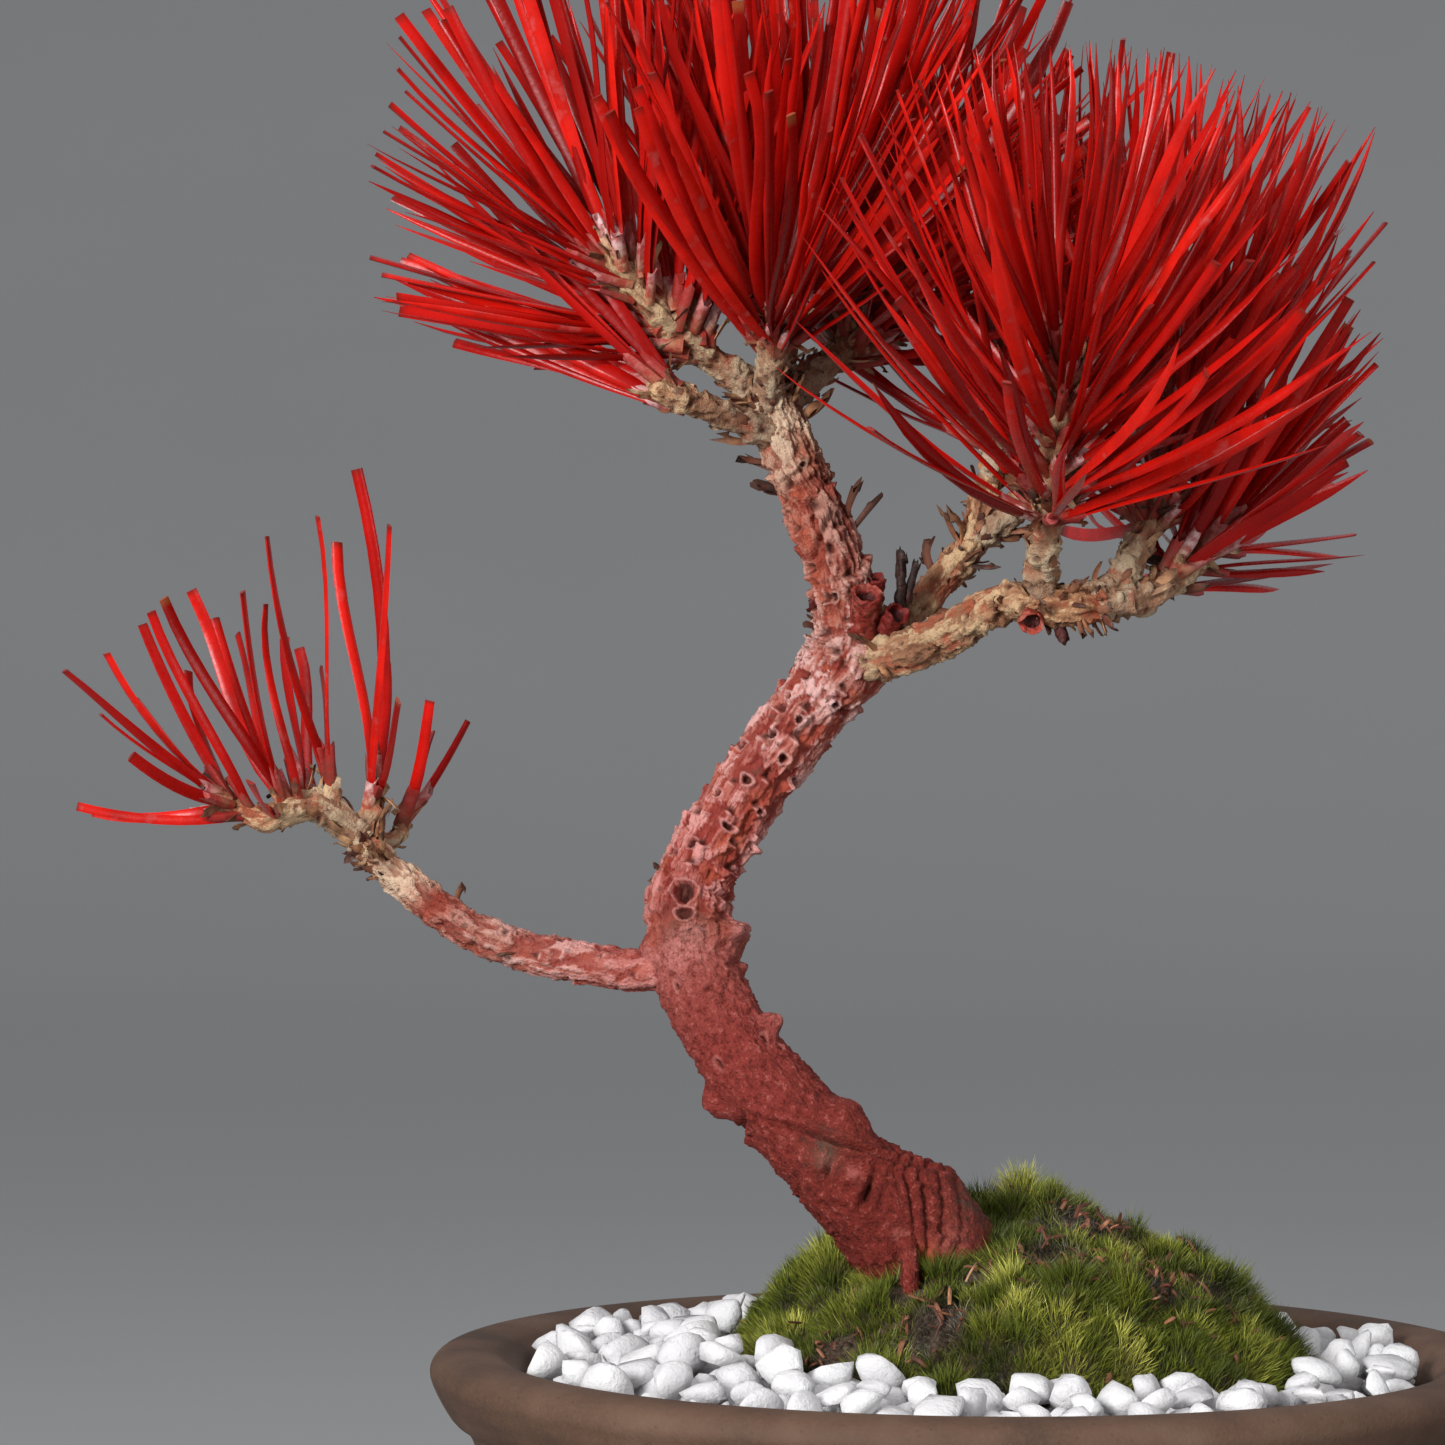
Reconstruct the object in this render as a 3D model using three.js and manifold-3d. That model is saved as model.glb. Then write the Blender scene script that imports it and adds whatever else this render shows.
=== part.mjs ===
// Japanese black pine bonsai with red needles, in a round unglazed pot.
// Millimetres, +Z up. The pieces are drawn around the pot's axis with the pot's foot at z = 0.
// The whole tree is then moved so that the middle of its outline stands over the origin.

import * as THREE from 'three';
import { mergeVertices } from 'three/addons/utils/BufferGeometryUtils.js';
import Module from 'manifold-3d';

const wasm = await Module();
wasm.setup();

// Driving dimensions

const clearance = 0.3; // between pieces that touch
const potAxis = { x: 21.5, y: 1.1 }; // from the origin to the pot's axis
const potSides = 40;
const fillSides = 20; // soil and gravel bed, half as many as the pot

// Pot outlines as [radius, height], from the foot upwards outside and down again inside
const drainRadius = 7.5;
const footRing = [[drainRadius, 3], [34, 3], [34, 0], [40, 0]];
const potOutside = [[40.5, 3.2], [47.5, 9], [53.5, 18], [57.5, 28], [60, 37.5]];
const potLip = [[62.7, 40.3], [65, 44.8], [64.2, 47.1], [61.6, 48], [57.8, 47.7]];
const potInside = [[55.8, 46.6], [54.4, 44.6], [53.4, 37], [50.5, 25], [46, 14], [39, 8.5]];
const potFloor = 8.5;

const screen = { width: 24, thickness: 0.8, holes: 4, bar: 1.6 };
const bedHeight = 43.5; // top of the soil out at the wall
const moundRoot = 4; // depth to which the soil mound is joined to the filling
const bedHole = 24; // radius of the gravel bed's hole, all of it under the moss

// Moss cushion: an oval with a high back, a left and a right shoulder
const moss = { x: 4, y: -1.5, reachX: 35, reachY: 31.5, dome: 16, skin: 3.3, sides: 34 };
const mossRings = [0, 0.22, 0.44, 0.66, 0.86, 1];
const mossHills = [
  { x: 8, y: 10, rise: 6.5, size: 11 },
  { x: -21, y: 0, rise: 4, size: 8 },
  { x: 28, y: 2, rise: 3, size: 9 },
  { x: 10, y: -22, rise: 2.5, size: 8 },
];

const stones = {
  radius: 4.4, pitch: 7.9, // of one stone, and from one to the next in a ring
  rings: [34.5, 42.6, 50.6], bedTop: 46.6,
  middle: 47.7, rise: 1.3, ringStep: 0.5, // height of the stones' centres, more towards the moss
  seed: 11,
};

// Stems as centre points with their radius: [x, y, z, radius]
const trunkLine = [
  [0, -3, 36, 6], [-1.5, -4, 44, 6.8], [-4, -5, 51, 7.2], [-6.5, -6, 60, 7.6], [-10.3, -7, 67, 7.4],
  [-15.5, -6, 72.2, 6.9], [-21.3, -3, 77.3, 6.1], [-27.5, 0, 83, 5.4], [-31.8, 3, 88.8, 5.2],
  [-34, 5, 95.2, 5.2], [-34.2, 6, 100.7, 5], [-32.4, 7, 106.4, 4.6], [-28.7, 8, 112.4, 4.5],
  [-24.5, 8, 118.6, 4.6], [-19.7, 8, 124.9, 4.7], [-16, 7, 130.9, 4.6], [-15.7, 6, 136.4, 4],
  [-17.1, 5, 142.4, 3.6], [-20, 4, 149.6, 3.4], [-22.7, 3, 155.6, 3.4], [-24.8, 3, 161, 3.2],
  [-25.6, 3, 163.5, 2.6],
];
const branches = {
  left: [
    [-33.5, 5, 93.5, 2.6], [-38, 5.5, 93.1, 2.4], [-45.4, 7, 93.5, 2.3], [-52.7, 8, 94.6, 2.2],
    [-59.3, 8, 96.6, 2.2], [-65.4, 8, 100.3, 2.2], [-70.6, 8, 104.6, 2.1], [-74, 8, 107.8, 2],
  ],
  right: [
    [-14, 6, 130.3, 3], [-8.6, 2, 131.5, 2.8], [-4.1, -4, 133.4, 2.6], [0.4, -10, 136.2, 2.5],
    [4.3, -15, 137.3, 2.4], [8.7, -18, 136.7, 2.4], [14, -18, 136.8, 2.1],
  ],
  rightFront: [[6.2, -16.5, 137, 2.2], [6.4, -19.5, 141, 2], [6.5, -21.5, 144, 1.8]],
  rightLow: [[12.5, -18, 136.8, 2.1], [16, -16.5, 137.2, 2], [19.5, -14, 138.4, 1.8]],
  rightUp: [[11.5, -17.5, 137, 2], [15.5, -14.5, 139.8, 1.9], [17.8, -12.5, 143, 1.7]],
  back: [
    [-12.6, 8, 132.8, 2.4], [-8.2, 11, 136, 2.1], [-3.4, 13, 140.8, 2.1], [0.2, 14, 145.5, 2.1],
    [1.8, 15.5, 152.5, 1.8],
  ],
  backRight: [[0, 14, 145, 2], [4, 13.5, 148.5, 1.9], [8, 13, 152, 1.7]],
  topLow: [[-25, 2, 157.5, 2], [-29.5, -1.5, 159.3, 1.7], [-32.5, -3.5, 160.3, 1.6]],
  topLeft: [[-24.8, 3, 161, 2.6], [-28, 2.2, 163.6, 2.2], [-31.5, 1, 166, 1.9]],
  topMiddle: [[-25, 3.5, 162, 2.4], [-24, 5, 166, 2], [-23, 6, 169.5, 1.8]],
  topRight: [[-24.5, 4, 160.5, 2.4], [-21, 7, 164, 2.1], [-17.5, 10, 167, 1.9]],
  topFront: [[-25.3, 2, 161, 2], [-25.2, -0.5, 164, 1.8], [-25, -2.5, 166.5, 1.6]],
  cutStub: [[-15, 3, 137, 1.6], [-11.6, -0.5, 139.6, 1.6]],
  deadStub: [[-12, 6, 137, 1.3], [-9.4, 5, 141, 1.1], [-8.2, 4.5, 143.4, 0.8]],
  lowStub: [[5.8, -15, 136.5, 1.3], [5.6, -19, 133.6, 1.1]],
  surfaceRoot: [[-8.5, -11, 65, 1.3], [-8.3, -13, 61, 1.2], [-8, -13, 54, 1.1]],
};

// Swellings of the bark. at counts along the trunk's centre points, angle is in degrees round the
// stem from the side that faces the viewer towards the right, rise and size are in millimetres.
const swellings = [
  { at: 9.35, angle: 80, rise: 1.3, size: 2.6 },
  { at: 9.4, angle: -85, rise: 0.8, size: 3 },
  { at: 7.6, angle: 88, rise: 1.9, size: 1.8 },
  { at: 6.1, angle: -90, rise: 1.1, size: 2.6 },
  { at: 5.4, angle: 85, rise: 1.5, size: 3.5 },
  { at: 10.2, angle: -50, rise: 0.8, size: 3.2 },
  { at: 14.9, angle: 60, rise: 0.9, size: 3.4 },
  { at: 16.2, angle: 75, rise: 0.8, size: 2.2 },
];
const pruningScar = { at: 10.1, angle: -12, rim: 2.4, rise: 0.8, depth: 1.5 };
const leafScars = { from: 10.7, to: 19, count: 60, rise: 0.6, size: 1.2 };
const baseFolds = { from: 2.6, to: 4.8, depth: 0.5, perPoint: 2.2 };
const pointSpacing = 6.8; // between the trunk's centre points
const goldenAngle = THREE.MathUtils.degToRad(137.5);

const needle = {
  rootRadius: 0.7, cutRadius: 0.5, pointRadius: 0.1, // of a loose needle
  cutScale: 0.65, // width at a cut tip, of the width at the foot
  lowest: 0.05, // smallest upward part of a needle's direction
  tries: 160, wander: 0.006, // each try may lean this much further off
};

// Sprays: a slim shoot whose upper rings carry scales, with two needles rising out of each scale.
// flare is the angle between needle and shoot in degrees, in the lowest and in the highest row.
const shoot = { sides: 9, plainRings: 1, scaleOut: 0.3, scaleIn: 0.1, scaleDrop: 0.3 };
const sprays = [
  {
    name: 'top_spray_low', seed: 3, rows: 3, flare: [58, 28], length: [34, 40], lift: 0.12,
    core: [[-32.8, -3.7, 160.4, 1.6], [-36, -5.2, 161.4, 1.6], [-39.5, -6.5, 162.6, 1.3]],
  },
  {
    name: 'top_spray_left', seed: 5, rows: 6, flare: [70, 26], length: [38, 45], lift: 0.2,
    core: [
      [-31.8, 0.9, 166.2, 1.8], [-35.5, -1.5, 169, 1.7], [-40, -4.5, 173, 1.6], [-44.5, -8, 178.5, 1.3],
    ],
  },
  {
    name: 'top_spray_middle', seed: 7, rows: 6, flare: [64, 24], length: [39, 45], lift: 0.25,
    core: [[-22.9, 6.1, 169.9, 1.8], [-21.8, 7.3, 175, 1.7], [-21, 8.3, 180.5, 1.6], [-20.5, 9, 186, 1.3]],
  },
  {
    name: 'top_spray_right', seed: 9, rows: 6, flare: [66, 26], length: [38, 45], lift: 0.25,
    core: [
      [-17.2, 10.2, 167.2, 1.8], [-14, 12.5, 170.5, 1.7], [-11, 15, 175.5, 1.6], [-9.3, 17.5, 182, 1.3],
    ],
  },
  {
    name: 'top_spray_front', seed: 13, rows: 3, flare: [45, 24], length: [40, 46], lift: 0.3,
    core: [[-24.9, -2.7, 166.9, 1.6], [-24.7, -4, 170, 1.6], [-24.4, -5.5, 174, 1.3]],
  },
  {
    name: 'right_spray_front', seed: 17, rows: 7, flare: [60, 24], length: [36, 43], lift: 0.25,
    core: [[6.6, -21.7, 144.4, 1.8], [7, -26, 151, 1.7], [7.6, -30.5, 159, 1.6], [8.1, -34, 166.5, 1.3]],
  },
  {
    name: 'right_spray_low', seed: 19, rows: 6, flare: [56, 26], length: [31, 38], lift: 0.16,
    core: [[19.8, -13.8, 138.5, 1.8], [25, -8.5, 142.5, 1.7], [30, -4, 147.5, 1.6], [33.5, 0, 151.5, 1.3]],
  },
  {
    name: 'right_spray_back', seed: 23, rows: 5, flare: [60, 26], length: [34, 42], lift: 0.3,
    core: [[1.9, 15.6, 153, 1.8], [3, 17, 159, 1.7], [4, 19, 166, 1.6], [4.5, 20, 173, 1.3]],
  },
  {
    name: 'right_spray_high', seed: 29, rows: 6, flare: [64, 26], length: [38, 44], lift: 0.25,
    core: [[8.4, 13, 152.3, 1.7], [13.5, 12.3, 157.5, 1.7], [17.5, 11.2, 164, 1.6], [20, 10, 171, 1.3]],
  },
  {
    name: 'right_spray_middle', seed: 31, rows: 6, flare: [62, 26], length: [35, 42], lift: 0.25,
    core: [[18, -12.3, 143.3, 1.7], [21, -8, 150, 1.7], [23.5, -5, 158, 1.6], [25, -3, 165, 1.3]],
  },
];

// The thin left spray is drawn needle by needle: [tip x, y, z, foot x, y, z]
const leftShoots = [
  [
    [-74.6, 8, 108.4, 1.9], [-78.5, 7, 112, 1.9], [-82.5, 5, 112, 1.7], [-86, 4, 110.8, 1.5],
    [-90.5, 4, 113, 0.9],
  ],
  [[-78, 7, 111.5, 1.6], [-77.7, 7.2, 115.5, 1.1]],
  [[-75, 8, 109, 1.7], [-72.8, 8.5, 111.5, 1.3], [-72.4, 8.6, 114.5, 0.9]],
  [[-74, 9, 107.8, 1.4], [-70.5, 12, 108.5, 1.1], [-69.4, 12.4, 110.6, 0.8]],
];
const leftNeedles = [
  [-107.4, -3, 112.4, -87.3, 3, 108.4], [-106.6, 6, 111.5, -90.1, 4, 110],
  [-100.3, -9, 118.5, -90, 2, 111.4], [-104.7, -3, 123.3, -90, 3, 112],
  [-107.9, -12, 128.5, -89.3, 3, 113], [-104.1, -2, 130.7, -89.2, 5, 113],
  [-100.6, 5, 134.2, -89, 5, 113], [-98.5, -5, 135.6, -87, 4, 112],
  [-97.1, -4, 137.2, -82, 5, 112.5], [-95.9, 14, 128.6, -88.5, 6, 113],
  [-95.1, 9, 138.4, -85, 6, 113], [-92.8, 14, 135, -84.5, 6, 113],
  [-90.5, 20, 133.2, -84, 7, 113], [-87.3, -8, 138, -83.5, 5, 113],
  [-85.4, 2, 136.7, -82, 6, 113], [-84.3, 16, 132.7, -81, 7, 113],
  [-83, 22, 131.5, -80, 8, 113], [-102.4, 15, 125.1, -89, 5, 113],
  [-85.1, 0, 144.8, -77.7, 6.5, 113.9], [-78.5, -8, 147, -77.2, 7, 113.9],
  [-80.5, 24, 129, -77, 8, 115], [-84.8, 26, 119.7, -79.7, 8, 112.5],
  [-78.1, 18, 144.5, -73.5, 9, 112.8], [-74.7, 3, 153, -72.7, 8, 113],
  [-70.1, -6, 146, -74.5, 8, 111.5], [-72.1, 20, 129.7, -72, 9, 113],
  [-68.7, -10, 125.3, -72.7, 7.5, 113], [-65.9, 6, 125.2, -69.7, 12, 110],
  [-61.7, 14, 122.7, -69.3, 12.5, 109.5], [-66.6, 24, 121.2, -70.5, 12.5, 109],
  [-80.6, 20, 106.3, -73, 9.5, 107.6], [-85.8, -14, 115.7, -83.7, 3, 111.5],
];

const looks = {
  clay: { color: 0x6a5146, roughness: 0.8, metalness: 0 },
  plastic: { color: 0x202422, roughness: 0.6, metalness: 0 },
  soil: { color: 0x4a3a2c, roughness: 1, metalness: 0 },
  moss: { color: 0x4d6b22, roughness: 1, metalness: 0 },
  stone: { color: 0xdcdde0, roughness: 0.9, metalness: 0 },
  bark: { color: 0x96584e, roughness: 0.9, metalness: 0 },
  needles: { color: 0xb3150c, roughness: 0.45, metalness: 0 },
};

// Helpers for solids

function solid(geometry) {
  geometry.deleteAttribute('normal');
  geometry.deleteAttribute('uv');
  const joined = mergeVertices(geometry);
  return new wasm.Manifold(new wasm.Mesh({
    numProp: 3,
    vertProperties: Float32Array.from(joined.attributes.position.array),
    triVerts: Uint32Array.from(joined.index.array),
  }));
}

function join(pieces) {
  return wasm.Manifold.union(pieces);
}

// The largest body of a solid, without any scrap that a cut has left loose
function mainBody(whole) {
  return whole.decompose().sort((a, b) => b.volume() - a.volume())[0];
}

function turned(outline, sides) {
  const points = [...outline, outline[0]].map(([radius, height]) => new THREE.Vector2(radius, height));
  return solid(new THREE.LatheGeometry(points, sides).rotateX(Math.PI / 2));
}

function node(name, body, look) {
  const { vertProperties, triVerts } = body.getMesh();
  const geometry = new THREE.BufferGeometry();
  geometry.setAttribute('position', new THREE.BufferAttribute(vertProperties, 3));
  geometry.setIndex(new THREE.BufferAttribute(triVerts, 1));
  geometry.computeVertexNormals();
  const mesh = new THREE.Mesh(geometry, new THREE.MeshStandardMaterial(look));
  mesh.name = name;
  return mesh;
}

// The same seed gives the same run of numbers from 0 to 1
function randomFrom(seed) {
  let state = seed;
  return () => {
    state = (state + 0x6d2b79f5) | 0;
    let mixed = Math.imul(state ^ (state >>> 15), state | 1);
    mixed ^= mixed + Math.imul(mixed ^ (mixed >>> 7), mixed | 61);
    return ((mixed ^ (mixed >>> 14)) >>> 0) / 4294967296;
  };
}

// Stems

function spine(points) {
  const centres = points.map(([x, y, z]) => new THREE.Vector3(x, y, z));
  return new THREE.CatmullRomCurve3(centres, false, 'catmullrom');
}

function radiusAt(points, t) {
  const place = t * (points.length - 1);
  const first = Math.min(Math.floor(place), points.length - 2);
  return THREE.MathUtils.lerp(points[first][3], points[first + 1][3], place - first);
}

// Directions at a point of a stem: along it, across it to the viewer's side, and across it to the right
function axesAt(curve, t) {
  const along = curve.getTangent(t);
  const front = new THREE.Vector3(0, -1, 0).addScaledVector(along, along.y).normalize();
  const right = along.clone().cross(front);
  return { along, front, right };
}

// Bends an upright cylinder of radius 1 and height 1 along a stem's centre points
function bend(shape, points, grow, relief) {
  const curve = spine(points);
  const place = shape.attributes.position;
  for (let i = 0; i < place.count; i += 1) {
    const [x, y, z] = [place.getX(i), place.getY(i), place.getZ(i)];
    const t = THREE.MathUtils.clamp(y + 0.5, 0, 1);
    const angle = Math.atan2(x, z);
    const reach = Math.hypot(x, z) * (radiusAt(points, t) + grow + relief(t, angle));
    const { along, front, right } = axesAt(curve, t);
    const end = t === 0 ? -grow : t === 1 ? grow : 0;
    const at = curve.getPoint(t).addScaledVector(along, end)
      .addScaledVector(front, Math.cos(angle) * reach).addScaledVector(right, Math.sin(angle) * reach);
    place.setXYZ(i, at.x, at.y, at.z);
  }
  return shape;
}

function stem(points, sides, stepsPerPoint, grow = 0, relief = () => 0) {
  const shape = new THREE.CylinderGeometry(1, 1, 1, sides, (points.length - 1) * stepsPerPoint);
  return solid(bend(shape, points, grow, relief));
}

// Distance over the trunk's bark between a point and a feature, in millimetres
function barkDistance(at, angle, feature, featureAngle) {
  const round = Math.atan2(Math.sin(angle - featureAngle), Math.cos(angle - featureAngle));
  const radius = radiusAt(trunkLine, at / (trunkLine.length - 1));
  return Math.hypot((at - feature) * pointSpacing, round * radius);
}

function trunkRelief(t, angle) {
  const at = t * (trunkLine.length - 1);
  const bell = (distance, size) => Math.exp(-((distance / size) ** 2));
  let height = 0;
  for (const { at: place, angle: side, rise, size } of swellings) {
    height += rise * bell(barkDistance(at, angle, place, THREE.MathUtils.degToRad(side)), size);
  }
  const scarSide = THREE.MathUtils.degToRad(pruningScar.angle);
  const fromScar = barkDistance(at, angle, pruningScar.at, scarSide);
  height += pruningScar.rise * bell(fromScar - pruningScar.rim, 1);
  height -= pruningScar.depth * bell(fromScar, pruningScar.rim * 0.6);
  for (let i = 0; i < leafScars.count; i += 1) {
    const place = THREE.MathUtils.lerp(leafScars.from, leafScars.to, i / leafScars.count);
    height += leafScars.rise * bell(barkDistance(at, angle, place, i * goldenAngle), leafScars.size);
  }
  if (at > baseFolds.from && at < baseFolds.to) {
    const fade = Math.sin(Math.PI * (at - baseFolds.from) / (baseFolds.to - baseFolds.from));
    const fold = Math.sin(at * baseFolds.perPoint * 2 * Math.PI);
    height += baseFolds.depth * fade * fold * (0.5 + 0.5 * Math.sin(angle));
  }
  return height;
}

function grownTree(grow) {
  const limbs = Object.values(branches).map((points) => stem(points, points.length > 3 ? 7 : 6, 2, grow));
  return join([stem(trunkLine, 16, 3, grow, trunkRelief), ...limbs]);
}

// Needles

// Shortest distance between two tapered rods, less both their radii
function gapBetween(rodA, rodB) {
  const u = rodA.to.clone().sub(rodA.from);
  const v = rodB.to.clone().sub(rodB.from);
  const w = rodA.from.clone().sub(rodB.from);
  const [a, b, c, d, e] = [u.dot(u), u.dot(v), v.dot(v), u.dot(w), v.dot(w)];
  const parallel = a * c - b * b;
  let s = parallel > 1e-9 ? THREE.MathUtils.clamp((b * e - c * d) / parallel, 0, 1) : 0;
  const t = THREE.MathUtils.clamp((b * s + e) / c, 0, 1);
  s = THREE.MathUtils.clamp((b * t - d) / a, 0, 1);
  const apart = w.addScaledVector(u, s).addScaledVector(v, -t).length();
  const radiusA = THREE.MathUtils.lerp(rodA.fromRadius, rodA.toRadius, s);
  return apart - radiusA - THREE.MathUtils.lerp(rodB.fromRadius, rodB.toRadius, t);
}

// A stem's centre line as rods, for keeping needles clear of it
function rodsOf(points, extra) {
  const curve = spine(points);
  const count = (points.length - 1) * 2;
  return Array.from({ length: count }, (_, i) => ({
    from: curve.getPoint(i / count),
    to: curve.getPoint((i + 1) / count),
    fromRadius: radiusAt(points, i / count) + extra,
    toRadius: radiusAt(points, (i + 1) / count) + extra,
  }));
}

function rodPast(rod, start) {
  const part = start / rod.from.distanceTo(rod.to);
  return {
    from: rod.from.clone().lerp(rod.to, part),
    to: rod.to,
    fromRadius: THREE.MathUtils.lerp(rod.fromRadius, rod.toRadius, part),
    toRadius: rod.toRadius,
  };
}

function looseRod(from, to, cut) {
  return { from, to, fromRadius: needle.rootRadius, toRadius: cut ? needle.cutRadius : needle.pointRadius };
}

const rootZone = 4; // how far from its foot a needle is still among its own shoot's scales
const stemSleeve = 1.1; // room round a stem for its bark's relief
const treeRods = [
  ...rodsOf(trunkLine, stemSleeve),
  ...Object.values(branches).flatMap((points) => rodsOf(points, 0.5)),
];
const coreRods = Object.fromEntries(
  sprays.map((spray) => [spray.name, rodsOf(spray.core, shoot.scaleOut)]),
);
coreRods.left_spray = leftShoots.flatMap((points) => rodsOf(points, 0.1));
const bareShoots = Object.fromEntries(
  sprays.map((spray) => [spray.name, solid(shootShape(spray))]),
);

function areCrossing(body, other) {
  return body.intersect(other).volume() > 1e-6;
}

// Is a new needle clear of the tree, of all shoots and of the needles placed before it
function isClear(one, placed) {
  const outer = rodPast(one.rod, rootZone);
  if (treeRods.some((other) => gapBetween(outer, other) < clearance)) return false;
  for (const [name, rods] of Object.entries(coreRods)) {
    const tested = name === one.name ? outer : one.rod;
    if (rods.some((other) => gapBetween(tested, other) < clearance)) return false;
  }
  const near = placed.filter((other) => gapBetween(one.rod, other.rod) < 0);
  one.body = needleBody(one);
  const others = [...near.map((other) => other.body), bareShoots[one.name]];
  return !others.some((other) => areCrossing(one.body, other));
}

function corner(place, index) {
  return new THREE.Vector3().fromBufferAttribute(place, index);
}

function centreOf(corners) {
  return corners.reduce((sum, point) => sum.add(point), new THREE.Vector3()).divideScalar(corners.length);
}

function distanceFromLine(point, from, way) {
  const offset = point.clone().sub(from);
  return offset.addScaledVector(way, -offset.dot(way)).length();
}

// The bare shoot: rings that step out and in again, turned by half a scale from row to row
function shootShape(spray) {
  const rings = shoot.plainRings + 2 * spray.rows;
  const isScale = (ring) => ring > shoot.plainRings && (ring - shoot.plainRings) % 2 === 1;
  const shape = new THREE.CylinderGeometry(1, 1, 1, shoot.sides, rings);
  const place = shape.attributes.position;
  for (let i = 0; i < place.count; i += 1) {
    const ring = Math.round((place.getY(i) + 0.5) * rings);
    const turn = (ring * Math.PI) / (2 * shoot.sides);
    const [x, z] = [place.getX(i), place.getZ(i)];
    const y = ring / rings - 0.5 - (isScale(ring) ? shoot.scaleDrop / rings : 0);
    place.setXYZ(i, x * Math.cos(turn) + z * Math.sin(turn), y, z * Math.cos(turn) - x * Math.sin(turn));
  }
  const ringAt = (t) => Math.round(t * rings + shoot.scaleDrop);
  const relief = (t) => (isScale(ringAt(t)) ? shoot.scaleOut : -shoot.scaleIn);
  return bend(shape, spray.core, 0, relief).toNonIndexed();
}

// The two facets of each scale, in the order in which the shoot's shape lists them
function scalesOf(spray) {
  const rings = shoot.plainRings + 2 * spray.rows;
  const place = shootShape(spray).attributes.position;
  const scales = [];
  for (let column = 0; column < shoot.sides; column += 1) {
    for (let row = 0; row < spray.rows; row += 1) {
      const fromTop = 2 * (spray.rows - 1 - row);
      const first = 2 * (column * rings + fromTop);
      const facets = [first, first + 1].map((facet) => ({
        facet, corners: [0, 1, 2].map((k) => corner(place, facet * 3 + k)),
      }));
      scales.push({ row, column, facets, t: (shoot.plainRings + 2 * row + 1.5) / rings });
    }
  }
  return scales;
}

// Tries the needles of a scale in their place, and turns them a little further off at each try
function needlesOn(spray, scale, facets, placed) {
  const random = randomFrom(spray.seed * 1000 + scale.row * shoot.sides + scale.column);
  const curve = spine(spray.core);
  const { along } = axesAt(curve, scale.t);
  const middle = centreOf(scale.facets.flatMap(({ corners }) => corners));
  const out = middle.clone().sub(curve.getPoint(scale.t));
  out.addScaledVector(along, -out.dot(along)).normalize();
  const across = along.clone().cross(out);
  const height = scale.row / (spray.rows - 1);
  const flare = THREE.MathUtils.lerp(spray.flare[0], spray.flare[1], height) + (random() - 0.5) * 8;
  const length = THREE.MathUtils.lerp(spray.length[0], spray.length[1], random());
  const halfSpread = Math.tan(THREE.MathUtils.degToRad(THREE.MathUtils.lerp(2.5, 6, random())));
  const sway = (random() - 0.5) * 0.2;
  const cuts = [random() < 0.5, random() < 0.5];
  for (let attempt = 0; attempt < needle.tries; attempt += 1) {
    const wander = attempt * needle.wander;
    const flareNow = THREE.MathUtils.degToRad(flare) + (random() - 0.5) * wander;
    const swayNow = sway + (random() - 0.5) * 2 * wander;
    const heading = along.clone().multiplyScalar(Math.cos(flareNow))
      .addScaledVector(out, Math.sin(flareNow)).addScaledVector(across, swayNow);
    heading.z = Math.max(heading.z + spray.lift, needle.lowest);
    heading.normalize();
    const needles = facets.map(({ facet, corners }, i) => {
      const from = centreOf(corners);
      const side = from.clone().sub(middle).normalize();
      const way = heading.clone().addScaledVector(side, halfSpread).normalize();
      const fromRadius = Math.max(...corners.map((point) => distanceFromLine(point, from, way)));
      const toRadius = cuts[i] ? fromRadius * needle.cutScale : 0;
      const rod = { from, to: from.clone().addScaledVector(way, length), fromRadius, toRadius };
      return { name: spray.name, facet, corners, cut: cuts[i], rod };
    });
    if (needles.every((one) => isClear(one, placed))) return needles;
  }
  if (facets.length === 1) return [];
  return facets.flatMap((one) => needlesOn(spray, scale, [one], placed)).slice(0, 1);
}

// The faces of a needle that rises out of one facet of the shoot
function needleFaces({ corners: [a, b, c], rod, cut }) {
  if (!cut) return [a, b, rod.to, b, c, rod.to, c, a, rod.to];
  const way = rod.to.clone().sub(rod.from).normalize();
  const [d, e, f] = [a, b, c].map((point) => {
    const offset = point.clone().sub(rod.from);
    return offset.addScaledVector(way, -offset.dot(way)).multiplyScalar(needle.cutScale).add(rod.to);
  });
  return [a, b, e, a, e, d, b, c, f, b, f, e, c, a, d, c, d, f, d, e, f];
}

function needleBody(one) {
  const [a, b, c] = one.corners;
  return solid(new THREE.BufferGeometry().setFromPoints([...needleFaces(one), a, c, b]));
}

function sprayNode(spray, placed, roomForTree) {
  const place = shootShape(spray).attributes.position;
  const mine = placed.filter(({ name }) => name === spray.name);
  const needles = new Map(mine.map((one) => [one.facet, one]));
  const points = [];
  for (let facet = 0; facet < place.count / 3; facet += 1) {
    const corners = [0, 1, 2].map((k) => corner(place, facet * 3 + k));
    points.push(...(needles.has(facet) ? needleFaces(needles.get(facet)) : corners));
  }
  const shape = new THREE.BufferGeometry().setFromPoints(points);
  return node(spray.name, mainBody(solid(shape).subtract(roomForTree)), looks.needles);
}

// A loose three-sided needle, for the thin left spray
function looseNeedle(rod) {
  const way = rod.to.clone().sub(rod.from);
  const length = way.length();
  const shape = new THREE.CylinderGeometry(rod.toRadius, rod.fromRadius, length, 3, 1);
  const turn = new THREE.Quaternion().setFromUnitVectors(new THREE.Vector3(0, 1, 0), way.normalize());
  const middle = rod.from.clone().lerp(rod.to, 0.5);
  return solid(shape.applyQuaternion(turn).translate(middle.x, middle.y, middle.z));
}

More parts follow.
